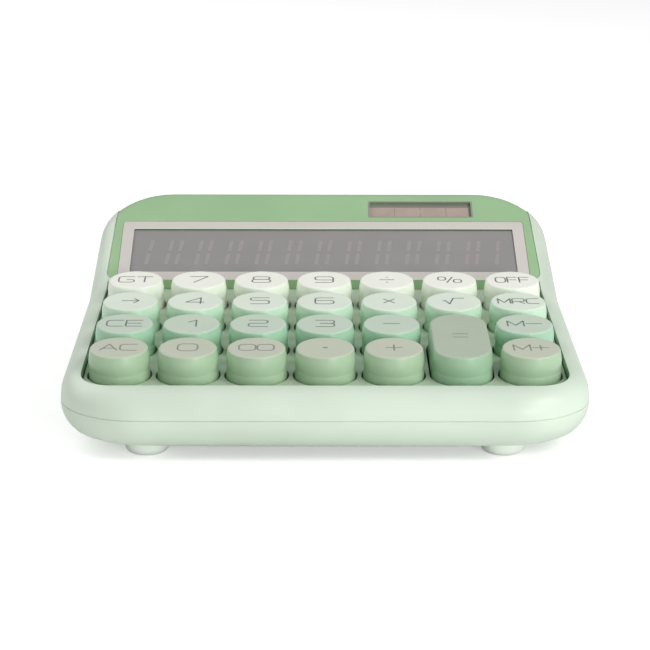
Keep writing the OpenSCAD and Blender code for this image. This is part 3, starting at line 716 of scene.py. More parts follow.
BOX = ((0, 0), (1, 0), (1, 1), (0, 1))
GLYPHS: dict[str, tuple[Stroke, ...]] = {
    "0": (Stroke(BOX, 0.34, True),),
    "1": (Stroke(((0.1, 0.66), (0.62, 1), (0.62, 0))),),
    "2": (Stroke(((0, 1), (1, 1), (1, 0.52), (0, 0.52), (0, 0), (1, 0)), 0.24),),
    "3": (Stroke(((0, 1), (1, 1), (1, 0.52), (0.25, 0.52)), 0.24),
          Stroke(((0.55, 0.52), (1, 0.52), (1, 0), (0, 0)), 0.24)),
    "4": (Stroke(((0.8, 0), (0.8, 1), (0, 0.26), (1, 0.26)), 0.03),),
    "5": (Stroke(((1, 1), (0, 1), (0, 0.56), (1, 0.56), (1, 0), (0, 0)), 0.2),),
    "6": (Stroke(((1, 1), (0, 1), (0, 0), (1, 0), (1, 0.56), (0, 0.56)), 0.26),),
    "7": (Stroke(((0, 1), (1, 1), (0.25, 0)), 0.03),),
    "8": (Stroke(((0.05, 0.53), (0.95, 0.53), (0.95, 1), (0.05, 1)), 0.22, True),
          Stroke(((0, 0), (1, 0), (1, 0.53), (0, 0.53)), 0.22, True)),
    "9": (Stroke(((0, 0), (1, 0), (1, 1), (0, 1), (0, 0.44), (1, 0.44)), 0.26),),
    "+": (Stroke(((0, 0.5), (1, 0.5))), Stroke(((0.5, 0.05), (0.5, 0.95)))),
    "-": (Stroke(((0, 0.5), (1, 0.5))),),
    "x": (Stroke(((0, 0.1), (1, 0.9))), Stroke(((0, 0.9), (1, 0.1)))),
    ":": (Stroke(((0, 0.5), (1, 0.5))), Stroke(((0.42, 0.95), (0.58, 0.95))),
          Stroke(((0.42, 0.05), (0.58, 0.05)))),
    "=": (Stroke(((0, 0.75), (1, 0.75))), Stroke(((0, 0.25), (1, 0.25)))),
    ".": (Stroke(((0.2, 0.55), (0.8, 0.55))), Stroke(((0.2, 0.38), (0.8, 0.38)))),
    "%": (Stroke(((0, 0.42), (0.33, 0.42), (0.33, 1), (0, 1)), 0.22, True),
          Stroke(((0.67, 0), (1, 0), (1, 0.58), (0.67, 0.58)), 0.22, True),
          Stroke(((0.36, 0), (0.64, 1)))),
    "r": (Stroke(((0, 0.5), (0.13, 0.56), (0.3, 0), (0.5, 1), (1, 1)), 0.02),),
    ">": (Stroke(((0, 0.5), (0.98, 0.5))), Stroke(((0.7, 0.95), (1, 0.5), (0.7, 0.05)), 0.02)),
    "G": (Stroke(((1, 1), (0, 1), (0, 0), (1, 0), (1, 0.46), (0.5, 0.46)), 0.26),),
    "T": (Stroke(((0, 1), (1, 1))), Stroke(((0.5, 1), (0.5, 0)))),
    "C": (Stroke(((1, 1), (0, 1), (0, 0), (1, 0)), 0.32),),
    "E": (Stroke(((1, 1), (0, 1), (0, 0), (1, 0)), 0.02), Stroke(((0, 0.5), (0.92, 0.5)))),
    "A": (Stroke(((0, 0), (0.5, 1), (1, 0)), 0.02), Stroke(((0.17, 0.34), (0.83, 0.34)))),
    "M": (Stroke(((0, 0), (0, 1), (0.5, 0.2), (1, 1), (1, 0)), 0.02),),
    "R": (Stroke(((0, 0), (0, 1), (1, 1), (1, 0.42), (0, 0.42)), 0.18),
          Stroke(((0.5, 0.42), (1, 0)))),
    "O": (Stroke(BOX, 0.32, True),),
    "F": (Stroke(((0, 0), (0, 1), (1, 1)), 0.02), Stroke(((0, 0.5), (0.9, 0.5)))),
}


def ribbon(skin: Skin, line: np.ndarray, closed: bool, width: float, base: float,
           top: float) -> None:
    """Adds a flat ribbon along a line.

    Formula: at each point the unit normal N of the line, from the points before and
    after it, gives the two edges P + N width/2 and P - N width/2, at base and at top.

    Args:
        skin: The skin that takes the ribbon.
        line: Points of x and y.
        closed: Whether the line returns to its start.
        width: Width of the ribbon.
        base: Height of its underside.
        top: Height of its upper side.
    """
    before, after = np.roll(line, 1, 0), np.roll(line, -1, 0)
    if not closed:
        before[0], after[-1] = line[0], line[-1]
    tangent = after - before
    tangent /= np.linalg.norm(tangent, axis=1, keepdims=True)
    side = np.stack([-tangent[:, 1], tangent[:, 0]], -1) * width / 2
    left, right = line + side, line - side
    section = np.stack([left, left, right, right], 1)
    heights = np.broadcast_to(np.array([base, top, top, base])[None, :, None],
                              section.shape[:2] + (1,))
    rings = np.concatenate([section, heights], -1)
    if closed:
        rings = np.concatenate([rings, rings[:1]])
        skin.rings(rings, poles=False)
    else:
        skin.rings(rings)


@dataclass(frozen=True)
class Legend:
    """Words or symbols of a key, centred on its top."""

    text: str
    cell_w: float = 5.5
    cell_h: float = 5.2
    gap: float = 0.6
    narrow: float = 0.62
    pen: float = 0.46
    sunk: float = 0.03
    proud: float = 0.02

    def draw(self, skin: Skin, centre: Point, height: float) -> None:
        """Draws the legend into a skin.

        Args:
            skin: The skin that takes the strokes.
            centre: The key's middle on the deck.
            height: Height of the key's top above the deck.
        """
        widths = [self.cell_w * (self.narrow if letter == "1" else 1.0) for letter in self.text]
        start = -(sum(widths) + self.gap * (len(self.text) - 1)) / 2
        for number, letter in enumerate(self.text):
            left = start + sum(widths[:number]) + self.gap * number
            for stroke in GLYPHS[letter]:
                corners = np.array(stroke.points) * [self.cell_w, self.cell_h]
                line = rounded(corners, stroke.radius * self.cell_h, stroke.closed)
                line = line + np.array([centre[0] + left, centre[1] - self.cell_h / 2])
                ribbon(skin, line, stroke.closed, self.pen, height - self.sunk,
                       height + self.proud)


# ---------- sub-assemblies


class Row(Enum):
    """The four colour rows of the keys, from the front: material slot and finish."""

    # First tone: the top, whose paler grey is a painted sheen; second tone: the side.
    FRONT = ("key_row_front", KeyPlastic("key_plastic_front", (197, 203, 184), (172, 199, 166)))
    SECOND = ("key_row_second", KeyPlastic("key_plastic_second", (199, 214, 198), (170, 212, 181)))
    THIRD = ("key_row_third", KeyPlastic("key_plastic_third", (226, 236, 222), (204, 233, 207)))
    REAR = ("key_row_rear", KeyPlastic("key_plastic_rear", (247, 248, 238), (240, 246, 232)))

    def __init__(self, slot: str, finish: KeyPlastic) -> None:
        """Keeps the row's slot and its finish."""
        self.slot = slot
        self.finish = finish


@dataclass
class Keyboard:
    """The key deck, its keycaps with their plungers, and their legends."""

    pitch: float = 19.05
    middle_column: int = 3
    top_d: float = 16.2
    skirt_d: float = 17.1
    bulge: float = 0.26
    rise: float = SIZES.key_rise
    sink: float = 1.0
    edge_r: float = 0.6
    wall: float = 1.2
    roof: float = 1.4
    chamfer: float = 0.12
    hub_r: float = 2.0
    step_z: float = 2.2
    step_in: float = 0.06
    plunger_w: float = 5.0
    switch_h: float = 5.7
    stem_r: float = 2.75
    cross_l: float = 3.9
    cross_w: float = 1.1
    cross_h: float = 3.5
    cross_fit: float = 0.05
    overlap: float = 0.1
    crease: float = 0.5
    taper: float = 0.02
    guide_r: float = 1.5
    equals_at: Point = (5, 0.5)
    layout: tuple = (
        (("key_all_clear", Legend("AC", 4.8, 4.6, 0.7)), ("key_0", Legend("0", 5.5, 5.3)),
         ("key_00", Legend("00", 4.6, 4.6, 0.5)), ("key_point", Legend(".", 2.2, 2.2)),
         ("key_plus", Legend("+", 4.7, 5.0)), None,
         ("key_memory_plus", Legend("M+", 4.6, 4.4))),
        (("key_clear_entry", Legend("CE", 4.7, 4.8, 0.8)), ("key_1", Legend("1", 4.4, 5.4)),
         ("key_2", Legend("2")), ("key_3", Legend("3")),
         ("key_minus", Legend("-", 4.7, 4.0)), None,
         ("key_memory_minus", Legend("M-", 4.6, 4.4))),
        (("key_backspace", Legend(">", 5.0, 4.4)), ("key_4", Legend("4")),
         ("key_5", Legend("5")), ("key_6", Legend("6")),
         ("key_times", Legend("x", 3.3, 4.4)), ("key_square_root", Legend("r", 6.6, 5.0)),
         ("key_memory_recall", Legend("MRC", 3.6, 4.2))),
        (("key_grand_total", Legend("GT", 4.7, 5.0, 0.8)), ("key_7", Legend("7", 5.5, 5.4)),
         ("key_8", Legend("8")), ("key_9", Legend("9")),
         ("key_divide", Legend(":", 4.4, 5.0)), ("key_percent", Legend("%", 7.0, 5.2)),
         ("key_off", Legend("OFF", 3.0, 4.8))),
    )

    def place(self, column: float, row: float) -> Point:
        """Where a key stands on the deck, in millimetres."""
        return ((column - self.middle_column) * self.pitch, row * self.pitch)

    def profile(self) -> np.ndarray:
        """The keycap's section from the middle of its top, down its side and back inside.

        Formula: the side runs from the top to the step with a swell of bulge * sin(pi t),
        and straight on to the skirt; above the step it lies step_in further in, and a
        quarter turn of edge_r rounds it into the top.

        Returns:
            The section, as rows of radius and height.
        """
        top_r, skirt_r = self.top_d / 2, self.skirt_d / 2
        lean = (skirt_r - top_r) / (self.rise + self.sink)
        step_r = top_r + lean * (self.rise - self.step_z)
        turn = np.linspace(math.pi / 2, math.radians(4), 9)
        arc_r = top_r - self.taper - self.edge_r + self.edge_r * np.cos(turn)
        arc_z = self.rise - self.edge_r + self.edge_r * np.sin(turn)
        under = self.rise - self.roof
        share = np.linspace(0.15, 0.85, 5)
        side_r = (top_r + (step_r - self.step_in - top_r) * share
                  + self.bulge * np.sin(math.pi * share))
        side_z = self.rise - self.edge_r + (self.step_z + self.edge_r - self.rise) * share
        top = [(self.hub_r, self.rise), (top_r - self.edge_r - self.crease, self.rise)]
        step = [(step_r - self.step_in - self.taper, self.step_z + self.crease),
                (step_r - self.step_in, self.step_z + 0.16),
                (step_r - self.step_in * 0.4, self.step_z),
                (step_r, self.step_z - self.chamfer),
                (step_r + self.taper, self.step_z - self.crease)]
        foot = [(skirt_r - 0.01, self.chamfer - self.sink), (skirt_r - self.chamfer, -self.sink),
                (skirt_r - self.wall, -self.sink)]
        inside = [(top_r - self.wall, under - 0.3), (top_r - self.wall - self.crease, under),
                  (self.hub_r, under)]
        return np.concatenate([top, np.stack([arc_r, arc_z], -1), np.stack([side_r, side_z], -1),
                               step, foot, inside])

    def cap(self, centre: Point, stretch: float) -> Skin:
        """The keycap with its stem, whose foot has a socket for the plunger's cross."""
        skin = Skin()
        skin.rings(lathe(*self.profile().T, centre, around(96), stretch))
        angle = self.cross_angles()
        under = self.rise - self.roof
        round_stem = np.full(angle.shape, self.stem_r)
        socket = self.cross_radius(angle, self.cross_fit)
        skin.rings(lathe(
            [round_stem, round_stem, socket, socket],
            [under + self.overlap, -self.sink, -self.sink,
             -self.sink + self.cross_h + self.overlap], centre, angle))
        if stretch > 0:
            for end in (-1, 1):
                at = (centre[0], centre[1] + end * stretch / 2)
                reach = [under + self.overlap, -self.sink - self.switch_h]
                skin.rings(lathe([self.guide_r] * 2, reach, at, around(32)))
        return skin

    def cross_angles(self) -> np.ndarray:
        """Angles round the plunger's cross, with all of its corners among them."""
        corner = math.atan2(self.cross_w, self.cross_l)
        quarter = np.array([0.0, corner, math.pi / 4, math.pi / 2 - corner])
        return (quarter[None, :] + math.pi / 2 * np.arange(4)[:, None]).reshape(-1)

    def cross_radius(self, angle: np.ndarray, gap: float) -> np.ndarray:
        """The cross as radius over angle: the further of its two bars at each angle."""
        along, across = self.cross_l / 2 + gap, self.cross_w / 2 + gap
        c, s = np.abs(np.cos(angle)) + 1e-9, np.abs(np.sin(angle)) + 1e-9
        return np.maximum(np.minimum(along / c, across / s), np.minimum(along / s, across / c))

    def plunger(self, centre: Point) -> Skin:
        """The switch's square plunger with the cross that carries the cap."""
        angle = self.cross_angles()
        square = self.plunger_w / 2 / np.maximum(np.abs(np.cos(angle)), np.abs(np.sin(angle)))
        cross = self.cross_radius(angle, 0.0)
        top = -self.sink - self.cross_fit
        return Skin().rings(lathe(
            [square, square, cross, cross],
            [-self.sink - self.switch_h, top, top, top + self.cross_h], centre, angle))

    def build(self, frame: dict, finishes: "Finishes") -> None:
        """Makes every key with its plunger and its legend, and dresses the deck."""
        rows = list(Row)
        places = [
            (name, self.place(column, row), 0.0, rows[row], legend)
            for row, line in enumerate(self.layout)
            for column, item in enumerate(line) if item
            for name, legend in [item]]
        places.append(
            ("key_equals", self.place(*self.equals_at), self.pitch, Row.FRONT,
             Legend("=", 4.4, 5.2)))
        for name, centre, stretch, row, legend in places:
            look = finishes.equals if stretch else row.finish
            cap = self.cap(centre, stretch).piece(f"{name}_cap", on_deck)
            dress(cap, name, row.slot, look, replaced=[name])
            plunger = self.plunger(centre).piece(f"{name}_plunger", on_deck)
            dress(plunger, name, "switch_plastic", finishes.plunger)
            print_skin = Skin()
            legend.draw(print_skin, centre, self.rise)
            ink = finishes.soft_ink if row is Row.FRONT else finishes.ink
            dress(print_skin.piece(f"{name}_legend", on_deck), name, row.slot, ink)
        deck = moulding("key_deck_plate", frame["nodes"]["key_deck"], 30.0)
        dress(deck, BODY, "deck_plastic", finishes.deck, replaced=["key_deck"])


@dataclass
class Case:
    """Upper and lower shell, battery door and feet."""

    groove: float = 0.22
    groove_h: float = 0.3
    seam_slack: float = 0.02
    skin: float = 0.3
    wall_lean: float = 0.2
    wall_slack: float = 0.12
    wall_depth: float = 1.5
    foot_x: float = 49.1
    foot_inset: float = 14.0
    foot_d: float = 12.9
    foot_taper: float = 0.6
    foot_edge: float = 2.0
    foot_top: float = 5.25
    foot_chamfer: float = 0.2
    hub_r: float = 2.0

    def outline_distance(self, x: np.ndarray, y: np.ndarray) -> tuple[np.ndarray, np.ndarray]:
        """How far points lie inside the case's outline, and the way straight out.

        Formula: with q = |p| - (half size - corner radius), the distance is the corner
        radius minus the length of q's positive part, and the way out is that part's
        direction.

        Args:
            x: Places across.
            y: Places to the rear.

        Returns:
            Distances, positive inside, and unit directions as rows.
        """
        qx = np.abs(x) - (SIZES.half_w - SIZES.corner_r)
        qy = np.abs(y) - (SIZES.half_d - SIZES.corner_r)
        out = np.stack([np.maximum(qx, 0), np.maximum(qy, 0)], -1)
        length = np.linalg.norm(out, axis=1)
        way = out / np.maximum(length, 1e-9)[:, None] * np.stack([np.sign(x), np.sign(y)], -1)
        return SIZES.corner_r - length, way

    def grooved(self, name: str, node: bpy.types.Object, upwards: int) -> bpy.types.Mesh:
        """A shell's mesh with a small chamfer at the seam, half of the parting groove.

        Args:
            name: The new mesh's name.
            node: The shell's CAD node.
            upwards: 1 for the shell above the seam and -1 for the one below it.

        Returns:
            The mesh.
        """
        mesh = merged(name, node)
        work = bmesh.new()
        work.from_mesh(mesh)
        cut_z = (SIZES.seam_z + upwards * self.groove_h) * MM
        bmesh.ops.bisect_plane(
            work, geom=work.verts[:] + work.edges[:] + work.faces[:], dist=1e-8,
            plane_co=(0, 0, cut_z), plane_no=(0, 0, 1))
        work.to_mesh(mesh)
        work.free()
        points = read(mesh.vertices, "co") / MM
        inside, way = self.outline_distance(points[:, 0], points[:, 1])
        edge = (np.abs(points[:, 2] - SIZES.seam_z) < self.seam_slack) & (inside < self.skin)
        points[edge, :2] -= way[edge] * self.groove
        mesh.vertices.foreach_set("co", (points * MM).reshape(-1))
        mesh.update()
        return mesh

    def paint_tray_wall_shade(self, mesh: bpy.types.Mesh) -> None:
        """Gives the walls of the key tray the second finish, a painted shade: a darker green for
        the shade that falls between the keys and the rim, on the case's own plastic.

        Formula: in the deck's frame a wall's face is upright and its middle lies on the
        tray's outline, a rectangle with front corners of tray_r.

        Args:
            mesh: The upper shell's mesh.
        """
        tilt = math.radians(SIZES.deck_tilt)
        turn = np.array([[1, 0, 0], [0, math.cos(tilt), math.sin(tilt)],
                         [0, -math.sin(tilt), math.cos(tilt)]])
        middle = read(mesh.polygons, "center") / MM
        spot = (middle - [0, SIZES.deck_y, SIZES.deck_z]) @ turn.T
        upright = np.abs((read(mesh.polygons, "normal") @ turn.T)[:, 2]) < self.wall_lean
        reach_x = np.maximum(np.abs(spot[:, 0]) - (SIZES.tray_half_w - SIZES.tray_r), 0)
        reach_y = np.maximum(SIZES.tray_front + SIZES.tray_r - spot[:, 1], 0)
        off = np.abs(np.hypot(reach_x, reach_y) - SIZES.tray_r)
        # Faces of the tray walls, which take the painted shade.
        wall = upright & (off < self.wall_slack) & (spot[:, 2] > -self.wall_depth)
        mesh.polygons.foreach_set("material_index", wall.astype(np.int32))

    def foot(self, centre: Point) -> Skin:
        """A rubber foot: a slightly tapered disc with a round lower edge."""
        low_r = (self.foot_d - self.foot_taper) / 2
        turn = np.linspace(0, -math.pi / 2, 10)
        arc_r = low_r - self.foot_edge + self.foot_edge * np.cos(turn)
        arc_z = self.foot_edge + self.foot_edge * np.sin(turn)
        section = np.concatenate([
            [(self.hub_r, self.foot_top), (self.foot_d / 2 - self.foot_chamfer, self.foot_top),
             (self.foot_d / 2, self.foot_top - self.foot_chamfer)],
            np.stack([arc_r, arc_z], -1), [(self.hub_r, 0.0)]])
        return Skin().rings(lathe(*section.T, centre, around(72)))

    def build(self, frame: dict, finishes: "Finishes") -> None:
        """Makes the shells, the door and the feet."""
        nodes = frame["nodes"]
        upper = self.grooved("upper_shell_moulding", nodes["upper_shell"], 1)
        # The tray walls get painted shade as the upper shell's second finish.
        self.paint_tray_wall_shade(upper)
        dress(finished("upper_shell_moulding", upper, CREASE_ANGLE), BODY, "case_plastic",
              finishes.case, finishes.tray_wall_painted_shade, replaced=["upper_shell"])
        lower = self.grooved("lower_shell_moulding", nodes["lower_shell"], -1)
        dress(finished("lower_shell_moulding", lower, CREASE_ANGLE), BODY, "case_plastic",
              finishes.case, replaced=["lower_shell"])
        door = moulding("battery_door_moulding", nodes["battery_door"])
        dress(door, "battery_door", "case_plastic", finishes.case, replaced=["battery_door"])
        foot_y = SIZES.half_d - self.foot_inset
        for end, y in (("front", -foot_y), ("rear", foot_y)):
            for side, x in (("left", -self.foot_x), ("right", self.foot_x)):
                name = f"foot_{end}_{side}"
                dress(self.foot((x, y)).piece(f"{name}_pad"), BODY, "foot_rubber",
                      finishes.rubber, replaced=[name])


@dataclass
class Display:
    """The green panel with its lens, liquid crystal and solar window."""

    lens_w: float = 129.2
    lens_l: float = 31.8
    lens_front: float = 0.5
    lens_t: float = 1.0
    lens_r: float = 1.0
    lens_edge: tuple = ((0.0, -0.22), (0.15, -0.06), (0.5, 0.0))
    view_w: float = 121.9
    view_l: float = 22.9
    view_s: float = 5.1
    view_depth: float = 0.45
    view_r: float = 0.3
    solar_w: float = 34.0
    solar_l: float = 9.15
    solar_x: float = 31.7
    solar_s: float = 34.6
    solar_depth: float = 0.85
    silicon_pitch: float = 8.4
    shade_band_rear: float = 2.0
    shade_band_side: float = 0.7
    solar_rim: float = 0.45
    solar_corners: tuple = (0.5, 0.3, 0.2)
    strip_side: float = 0.1
    strip_rear: float = 0.6
    digits: int = 12
    digits_w: float = 113.9
    digits_down: float = 0.6
    digit_w: float = 6.3
    digit_h: float = 14.0
    segment_w: float = 1.15
    segment_gap: float = 0.713
    segment_sunk: float = 0.02
    segment_proud: float = 0.01
    lean: float = 0.12

    def lens(self) -> Skin:
        """The lens: a plate with a rounded edge and a sunk window over the display, with a painted
        reflection along the window's edge and painted shade on the window's walls.
        """
        edge = [round_rect(self.lens_w - less, self.lens_l - less, self.lens_r - 0.4 * less)
                + [0, self.lens_front + self.lens_l / 2] for less, _ in self.lens_edge]
        middle = np.array([0, self.view_s + self.view_l / 2])
        view = round_rect(self.view_w, self.view_l, self.view_r) + middle
        # The band between this strip's outline and the window takes a painted reflection: a pale
        # green line, widest along the rear.
        strip = round_rect(self.view_w + 2 * self.strip_side,
                           self.view_l + self.strip_side + self.strip_rear, self.view_r)
        strip = strip + middle + [0, (self.strip_rear - self.strip_side) / 2]
        rings = levels([edge[0], *edge, strip, view, view],
                       [-self.lens_t, *(z for _, z in self.lens_edge),
                        0.0, -self.segment_sunk, -self.view_depth])
        # Finish 3 is the painted reflection along the window's edge, 2 the painted shade on the
        # window's walls and 1 the liquid crystal.
        return Skin().rings(rings, [0, 0, 0, 0, 0, 3, 2, 1])

    def segments(self) -> Skin:
        """The upright segments of the twelve digits, which show faintly at rest."""
        skin = Skin()
        reach = np.linspace(self.segment_gap, self.digit_h / 2 - self.segment_gap, 3)
        middle_s = self.view_s + self.view_l / 2 - self.digits_down
        for number in range(self.digits):
            x = (number - (self.digits - 1) / 2) * self.digits_w / self.digits
            for side, end in ((-1, -1), (-1, 1), (1, -1), (1, 1)):
                line = np.stack([np.full(3, x + side * self.digit_w / 2), end * reach], -1)
                line[:, 0] += self.lean * line[:, 1]
                line[:, 1] += middle_s
                ribbon(skin, line, False, self.segment_w, -self.view_depth - self.segment_sunk,
                       -self.view_depth + self.segment_proud)
        return skin

    def solar(self) -> Skin:
        """The solar window: a rim, a sunk floor of silicon, and painted shade on its walls and on
        a band of the floor along the rear and right walls.
        """
        outer_r, rim_r, bed_r = self.solar_corners
        outer = round_rect(self.solar_w, self.solar_l, outer_r)
        rim_w, rim_l = self.solar_w - 2 * self.solar_rim, self.solar_l - 2 * self.solar_rim
        rim = round_rect(rim_w, rim_l, rim_r)
        # The silicon floor stops short of the rear and right walls; the band left there takes
        # painted shadow of those walls.
        bed = round_rect(rim_w - self.shade_band_side, rim_l - self.shade_band_rear, bed_r)
        bed = bed - np.array([self.shade_band_side, self.shade_band_rear]) / 2
        rings = levels([outer, outer, rim, rim, bed],
                       [-self.lens_t, 0.0, 0.0, -self.solar_depth, -self.solar_depth])
        rings += [self.solar_x, self.solar_s + self.solar_l / 2, 0]
        # Finish 2 is painted shade on the walls and on the floor's band, 1 the silicon.
        return Skin().rings(rings, [0, 0, 0, 2, 2, 1])

    def build(self, frame: dict, finishes: "Finishes") -> None:
        """Makes the panel and what lies in it."""
        panel = moulding("display_panel_moulding", frame["nodes"]["display_panel"])
        dress(panel, BODY, "panel_plastic", finishes.panel, replaced=["display_panel"])
        lens = self.lens().piece("display_lens_plate", on_face)
        # The lens takes painted shade on its window walls and a painted reflection along the
        # window's edge.
        dress(lens, BODY, "display_glass", finishes.lens, finishes.crystal, finishes.shadow,
              finishes.view_edge_reflection, replaced=["display_lens"])
        dress(self.segments().piece("display_segments", on_face), BODY, "display_glass",
              finishes.segment)
        solar = self.solar().piece("solar_window_plate", on_face)
        # The solar window takes painted shade on its walls and on a band of its floor.
        dress(solar, BODY, "solar_glass", finishes.solar_rim, finishes.silicon, finishes.well_painted_shade,
              replaced=["solar_window"])


class Inside:
    """The CAD nodes that are shown as they are, with finishes of their own."""

    def build(self, frame: dict, finishes: "Finishes") -> None:
        """Dresses the board, switches, battery parts, screws and the display's inner parts."""
        looks = {
            "solar_cell": finishes.silicon, "lcd_glass": finishes.crystal,
            "lcd_bracket": finishes.inner, "lcd_ribbon": finishes.film,
            "main_board": finishes.board, "switch_housings": finishes.switch,
            "equals_guides": finishes.inner, "board_screws": finishes.steel,
            "bracket_screws": finishes.steel, "case_screws": finishes.steel,
            "battery_cell": finishes.cell, "battery_contacts": finishes.contact,
            "battery_spring": finishes.contact}
        for name, look in looks.items():
            mesh = frame["nodes"][name].data
            mesh.materials.clear()
            mesh.materials.append(look.material())
            LOG.info("dressed %s", name)


@dataclass(frozen=True)
class Finishes:
    """Every finish of the calculator but those of the key rows."""

    case: Finish = MouldedPlastic("case_plastic_satin", (214, 228, 211))
    # Painted shade: the case's plastic, darkened on the tray walls where shade falls between the
    # keys and the rim.
    tray_wall_painted_shade: Finish = MouldedPlastic("tray_wall_painted_shade_satin", (128, 163, 130))
    deck: Finish = MouldedPlastic("deck_plastic_satin", (196, 214, 190))
    panel: Finish = MouldedPlastic("panel_plastic_satin", (158, 194, 148))
    # The equals key's top tone is a painted sheen, as on the rows.
    equals: Finish = KeyPlastic("key_plastic_equals", (182, 193, 174), (160, 194, 162))
    ink: Finish = InkPrint("legend_ink", (118, 121, 119))
    soft_ink: Finish = InkPrint("legend_ink_soft", (140, 134, 140))
    plunger: Finish = MouldedPlastic("plunger_plastic", (120, 125, 120))
    lens: Finish = GlossPlate("lens_border", (215, 209, 204), (211, 204, 199),
                              roughness=0.28, patch=30.0, coat=0.3)
    crystal: Finish = GlossPlate("liquid_crystal", (150, 147, 146), (146, 144, 143),
                                 roughness=0.25, patch=16.0, coat=0.5)
    segment: Finish = InkPrint("resting_segment", (153, 147, 144))
    # Painted shade on the walls of the display's sunk window.
    shadow: Finish = MouldedPlastic("window_wall_painted_shade", (92, 92, 88))
    # Painted reflection: a pale green line along the window's edge, widest at the rear.
    view_edge_reflection: Finish = MouldedPlastic("view_edge_painted_reflection", (208, 222, 205))
    # Painted shade on the solar window's walls and the shadow band on its floor.
    well_painted_shade: Finish = MouldedPlastic("solar_well_painted_shade", (128, 134, 120))
    solar_rim: Finish = GlossPlate("solar_rim", (150, 160, 140), (146, 156, 137),
                                   roughness=0.3, patch=12.0, coat=0.3)
    silicon: Finish = SolarSilicon("solar_silicon_strips", (172, 155, 146), (150, 134, 126),
                                   Display.solar_x, Display.silicon_pitch)
    # Painted light: the feet are as pale as the case, and their tone is raised near white to make
    # up for the shade under the case.
    rubber: Finish = MouldedPlastic("foot_rubber_painted_light", (246, 252, 244), roughness=0.6,
                                    grain=0.5, grain_depth=0.02)
    inner: Finish = MouldedPlastic("inner_plastic_white", (225, 228, 222), 0.5)
    switch: Finish = MouldedPlastic("switch_housing_plastic", (52, 54, 52), 0.45)
    film: Finish = GlossPlate("ribbon_film", (170, 110, 50), (160, 100, 44))
    board: Finish = CircuitBoard("circuit_board_mask", (34, 96, 58), (60, 130, 84))
    steel: Finish = BareMetal("screw_steel_bright", (190, 190, 188))
    contact: Finish = BareMetal("contact_nickel", (205, 200, 188), 0.25)
    cell: Finish = StripedWrap("cell_sleeve", (60, 62, 66), (190, 150, 80), band_x=12.0)


def dress(piece: bpy.types.Object, body: str, slot: str, *looks: Finish,
          replaced: list[str] | None = None) -> None:
    """Gives a piece its finishes, its body and the nodes it stands for.

    Args:
        piece: The piece.
        body: The body it rides on.
        slot: The record's material slot; not used.
        *looks: Its finishes, by finish number.
        replaced: The CAD nodes it stands for.
    """
    for look in looks:
        piece.data.materials.append(look.material())
    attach(piece, body)
    if replaced:
        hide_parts(*replaced)
    LOG.info("made %s: %d faces", piece.name, len(piece.data.polygons))


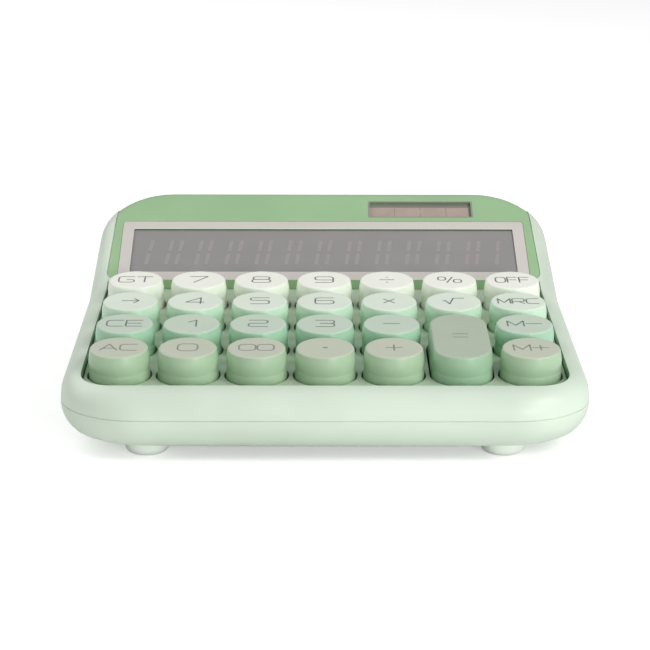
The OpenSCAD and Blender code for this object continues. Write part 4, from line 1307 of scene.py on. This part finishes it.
@dataclass
class Studio:
    """White floor, white surroundings, soft lamps and the camera."""

    camera_at: tuple = (-3.79, -582.83, 180.69)
    target: tuple = (0.03, -33.89, 28.75)
    lens: float = 110.6
    sensor: float = 36.0
    roll: float = 0.17
    floor_half: float = 3000.0
    ambient: float = 0.40

    def camera(self) -> None:
        """Sets up the camera from its place, target and roll."""
        data = bpy.data.cameras.new("camera")
        data.lens = self.lens
        data.sensor_width = self.sensor
        data.clip_start, data.clip_end = 0.01, 50.0
        camera = placed("camera", data)
        place, target = Vector(self.camera_at) * MM, Vector(self.target) * MM
        ahead = (target - place).normalized()
        right = ahead.cross(Vector((0, 0, 1))).normalized()
        up = right.cross(ahead)
        turn = math.radians(self.roll)
        turned_right = right * math.cos(turn) + up * math.sin(turn)
        turned_up = up * math.cos(turn) - right * math.sin(turn)
        matrix = Matrix((turned_right, turned_up, -ahead)).transposed().to_4x4()
        matrix.translation = place
        camera.matrix_world = matrix
        bpy.context.scene.camera = camera

    def lamp(self, name: str, at: tuple, size: float, power: float) -> None:
        """Adds a soft square lamp that faces the middle of the case."""
        data = bpy.data.lights.new(name, "AREA")
        data.shape = "SQUARE"
        data.size = size
        data.energy = power
        lamp = placed(name, data)
        lamp.location = at
        aim = Vector((0, 0, 0.02)) - Vector(at)
        lamp.rotation_euler = aim.to_track_quat("-Z", "Y").to_euler()

    def floor(self) -> None:
        """Adds the floor, which looks white but keeps the calculator's shadow."""
        corners = np.array([[-1, -1, 0], [1, -1, 0], [1, 1, 0], [-1, 1, 0]]) * self.floor_half
        mesh = bpy.data.meshes.new("floor")
        mesh.from_pydata((corners * MM).tolist(), [], [[0, 1, 2, 3]])
        floor = placed("floor", mesh)
        recipe = Recipe("floor_paper")
        seen = recipe.node("ShaderNodeLightPath", {}, {}, "Is Camera Ray")
        fibre = recipe.noise(3.0)
        recipe.set(
            Base_Color=recipe.mix(fibre, (0.9, 0.9, 0.9, 1), (0.92, 0.92, 0.92, 1)),
            Roughness=0.9, Specular_IOR_Level=0.0,
            Emission_Color=recipe.mix(seen, (0, 0, 0, 1), (0.4, 0.4, 0.4, 1)),
            Emission_Strength=1.0)
        mesh.materials.append(recipe.material)

    def world(self) -> None:
        """Sets even light all round, with white where the camera looks past the floor."""
        world = bpy.data.worlds.new("studio")
        bpy.context.scene.world = world
        world.use_nodes = True
        sky = Nodes(world.node_tree)
        seen = sky.node("ShaderNodeLightPath", {}, {}, "Is Camera Ray")
        shade = sky.mix(seen, (self.ambient, self.ambient, self.ambient, 1), (1, 1, 1, 1))
        sky.finish("ShaderNodeOutputWorld", sky.node("ShaderNodeBackground", {}, {"Color": shade}))

    def build(self) -> None:
        """Makes the whole studio."""
        self.camera()
        self.floor()
        self.world()
        for name, at, size, power in (
                ("key_lamp", (0.95, -0.6, 0.9), 0.55, 7.8),
                ("rear_lamp", (-0.85, 0.6, 0.95), 0.8, 5.0),
                ("front_lamp", (0.52, -0.98, 0.2), 0.25, 4.0),
                ("fill_lamp", (-1.1, 0.2, 0.6), 0.5, 2.0)):
            self.lamp(name, at, size, power)
        bpy.context.scene.view_settings.view_transform = "Standard"


def main() -> None:
    """Builds the calculator's sub-assemblies round the frame, then the studio."""
    logging.basicConfig(level=logging.INFO, format="%(message)s")
    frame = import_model()
    finishes = Finishes()
    for assembly in (Case(), Keyboard(), Display(), Inside()):
        assembly.build(frame, finishes)
        LOG.info("finished %s", type(assembly).__name__)
    Studio().build()


if __name__ == "__main__":
    main()
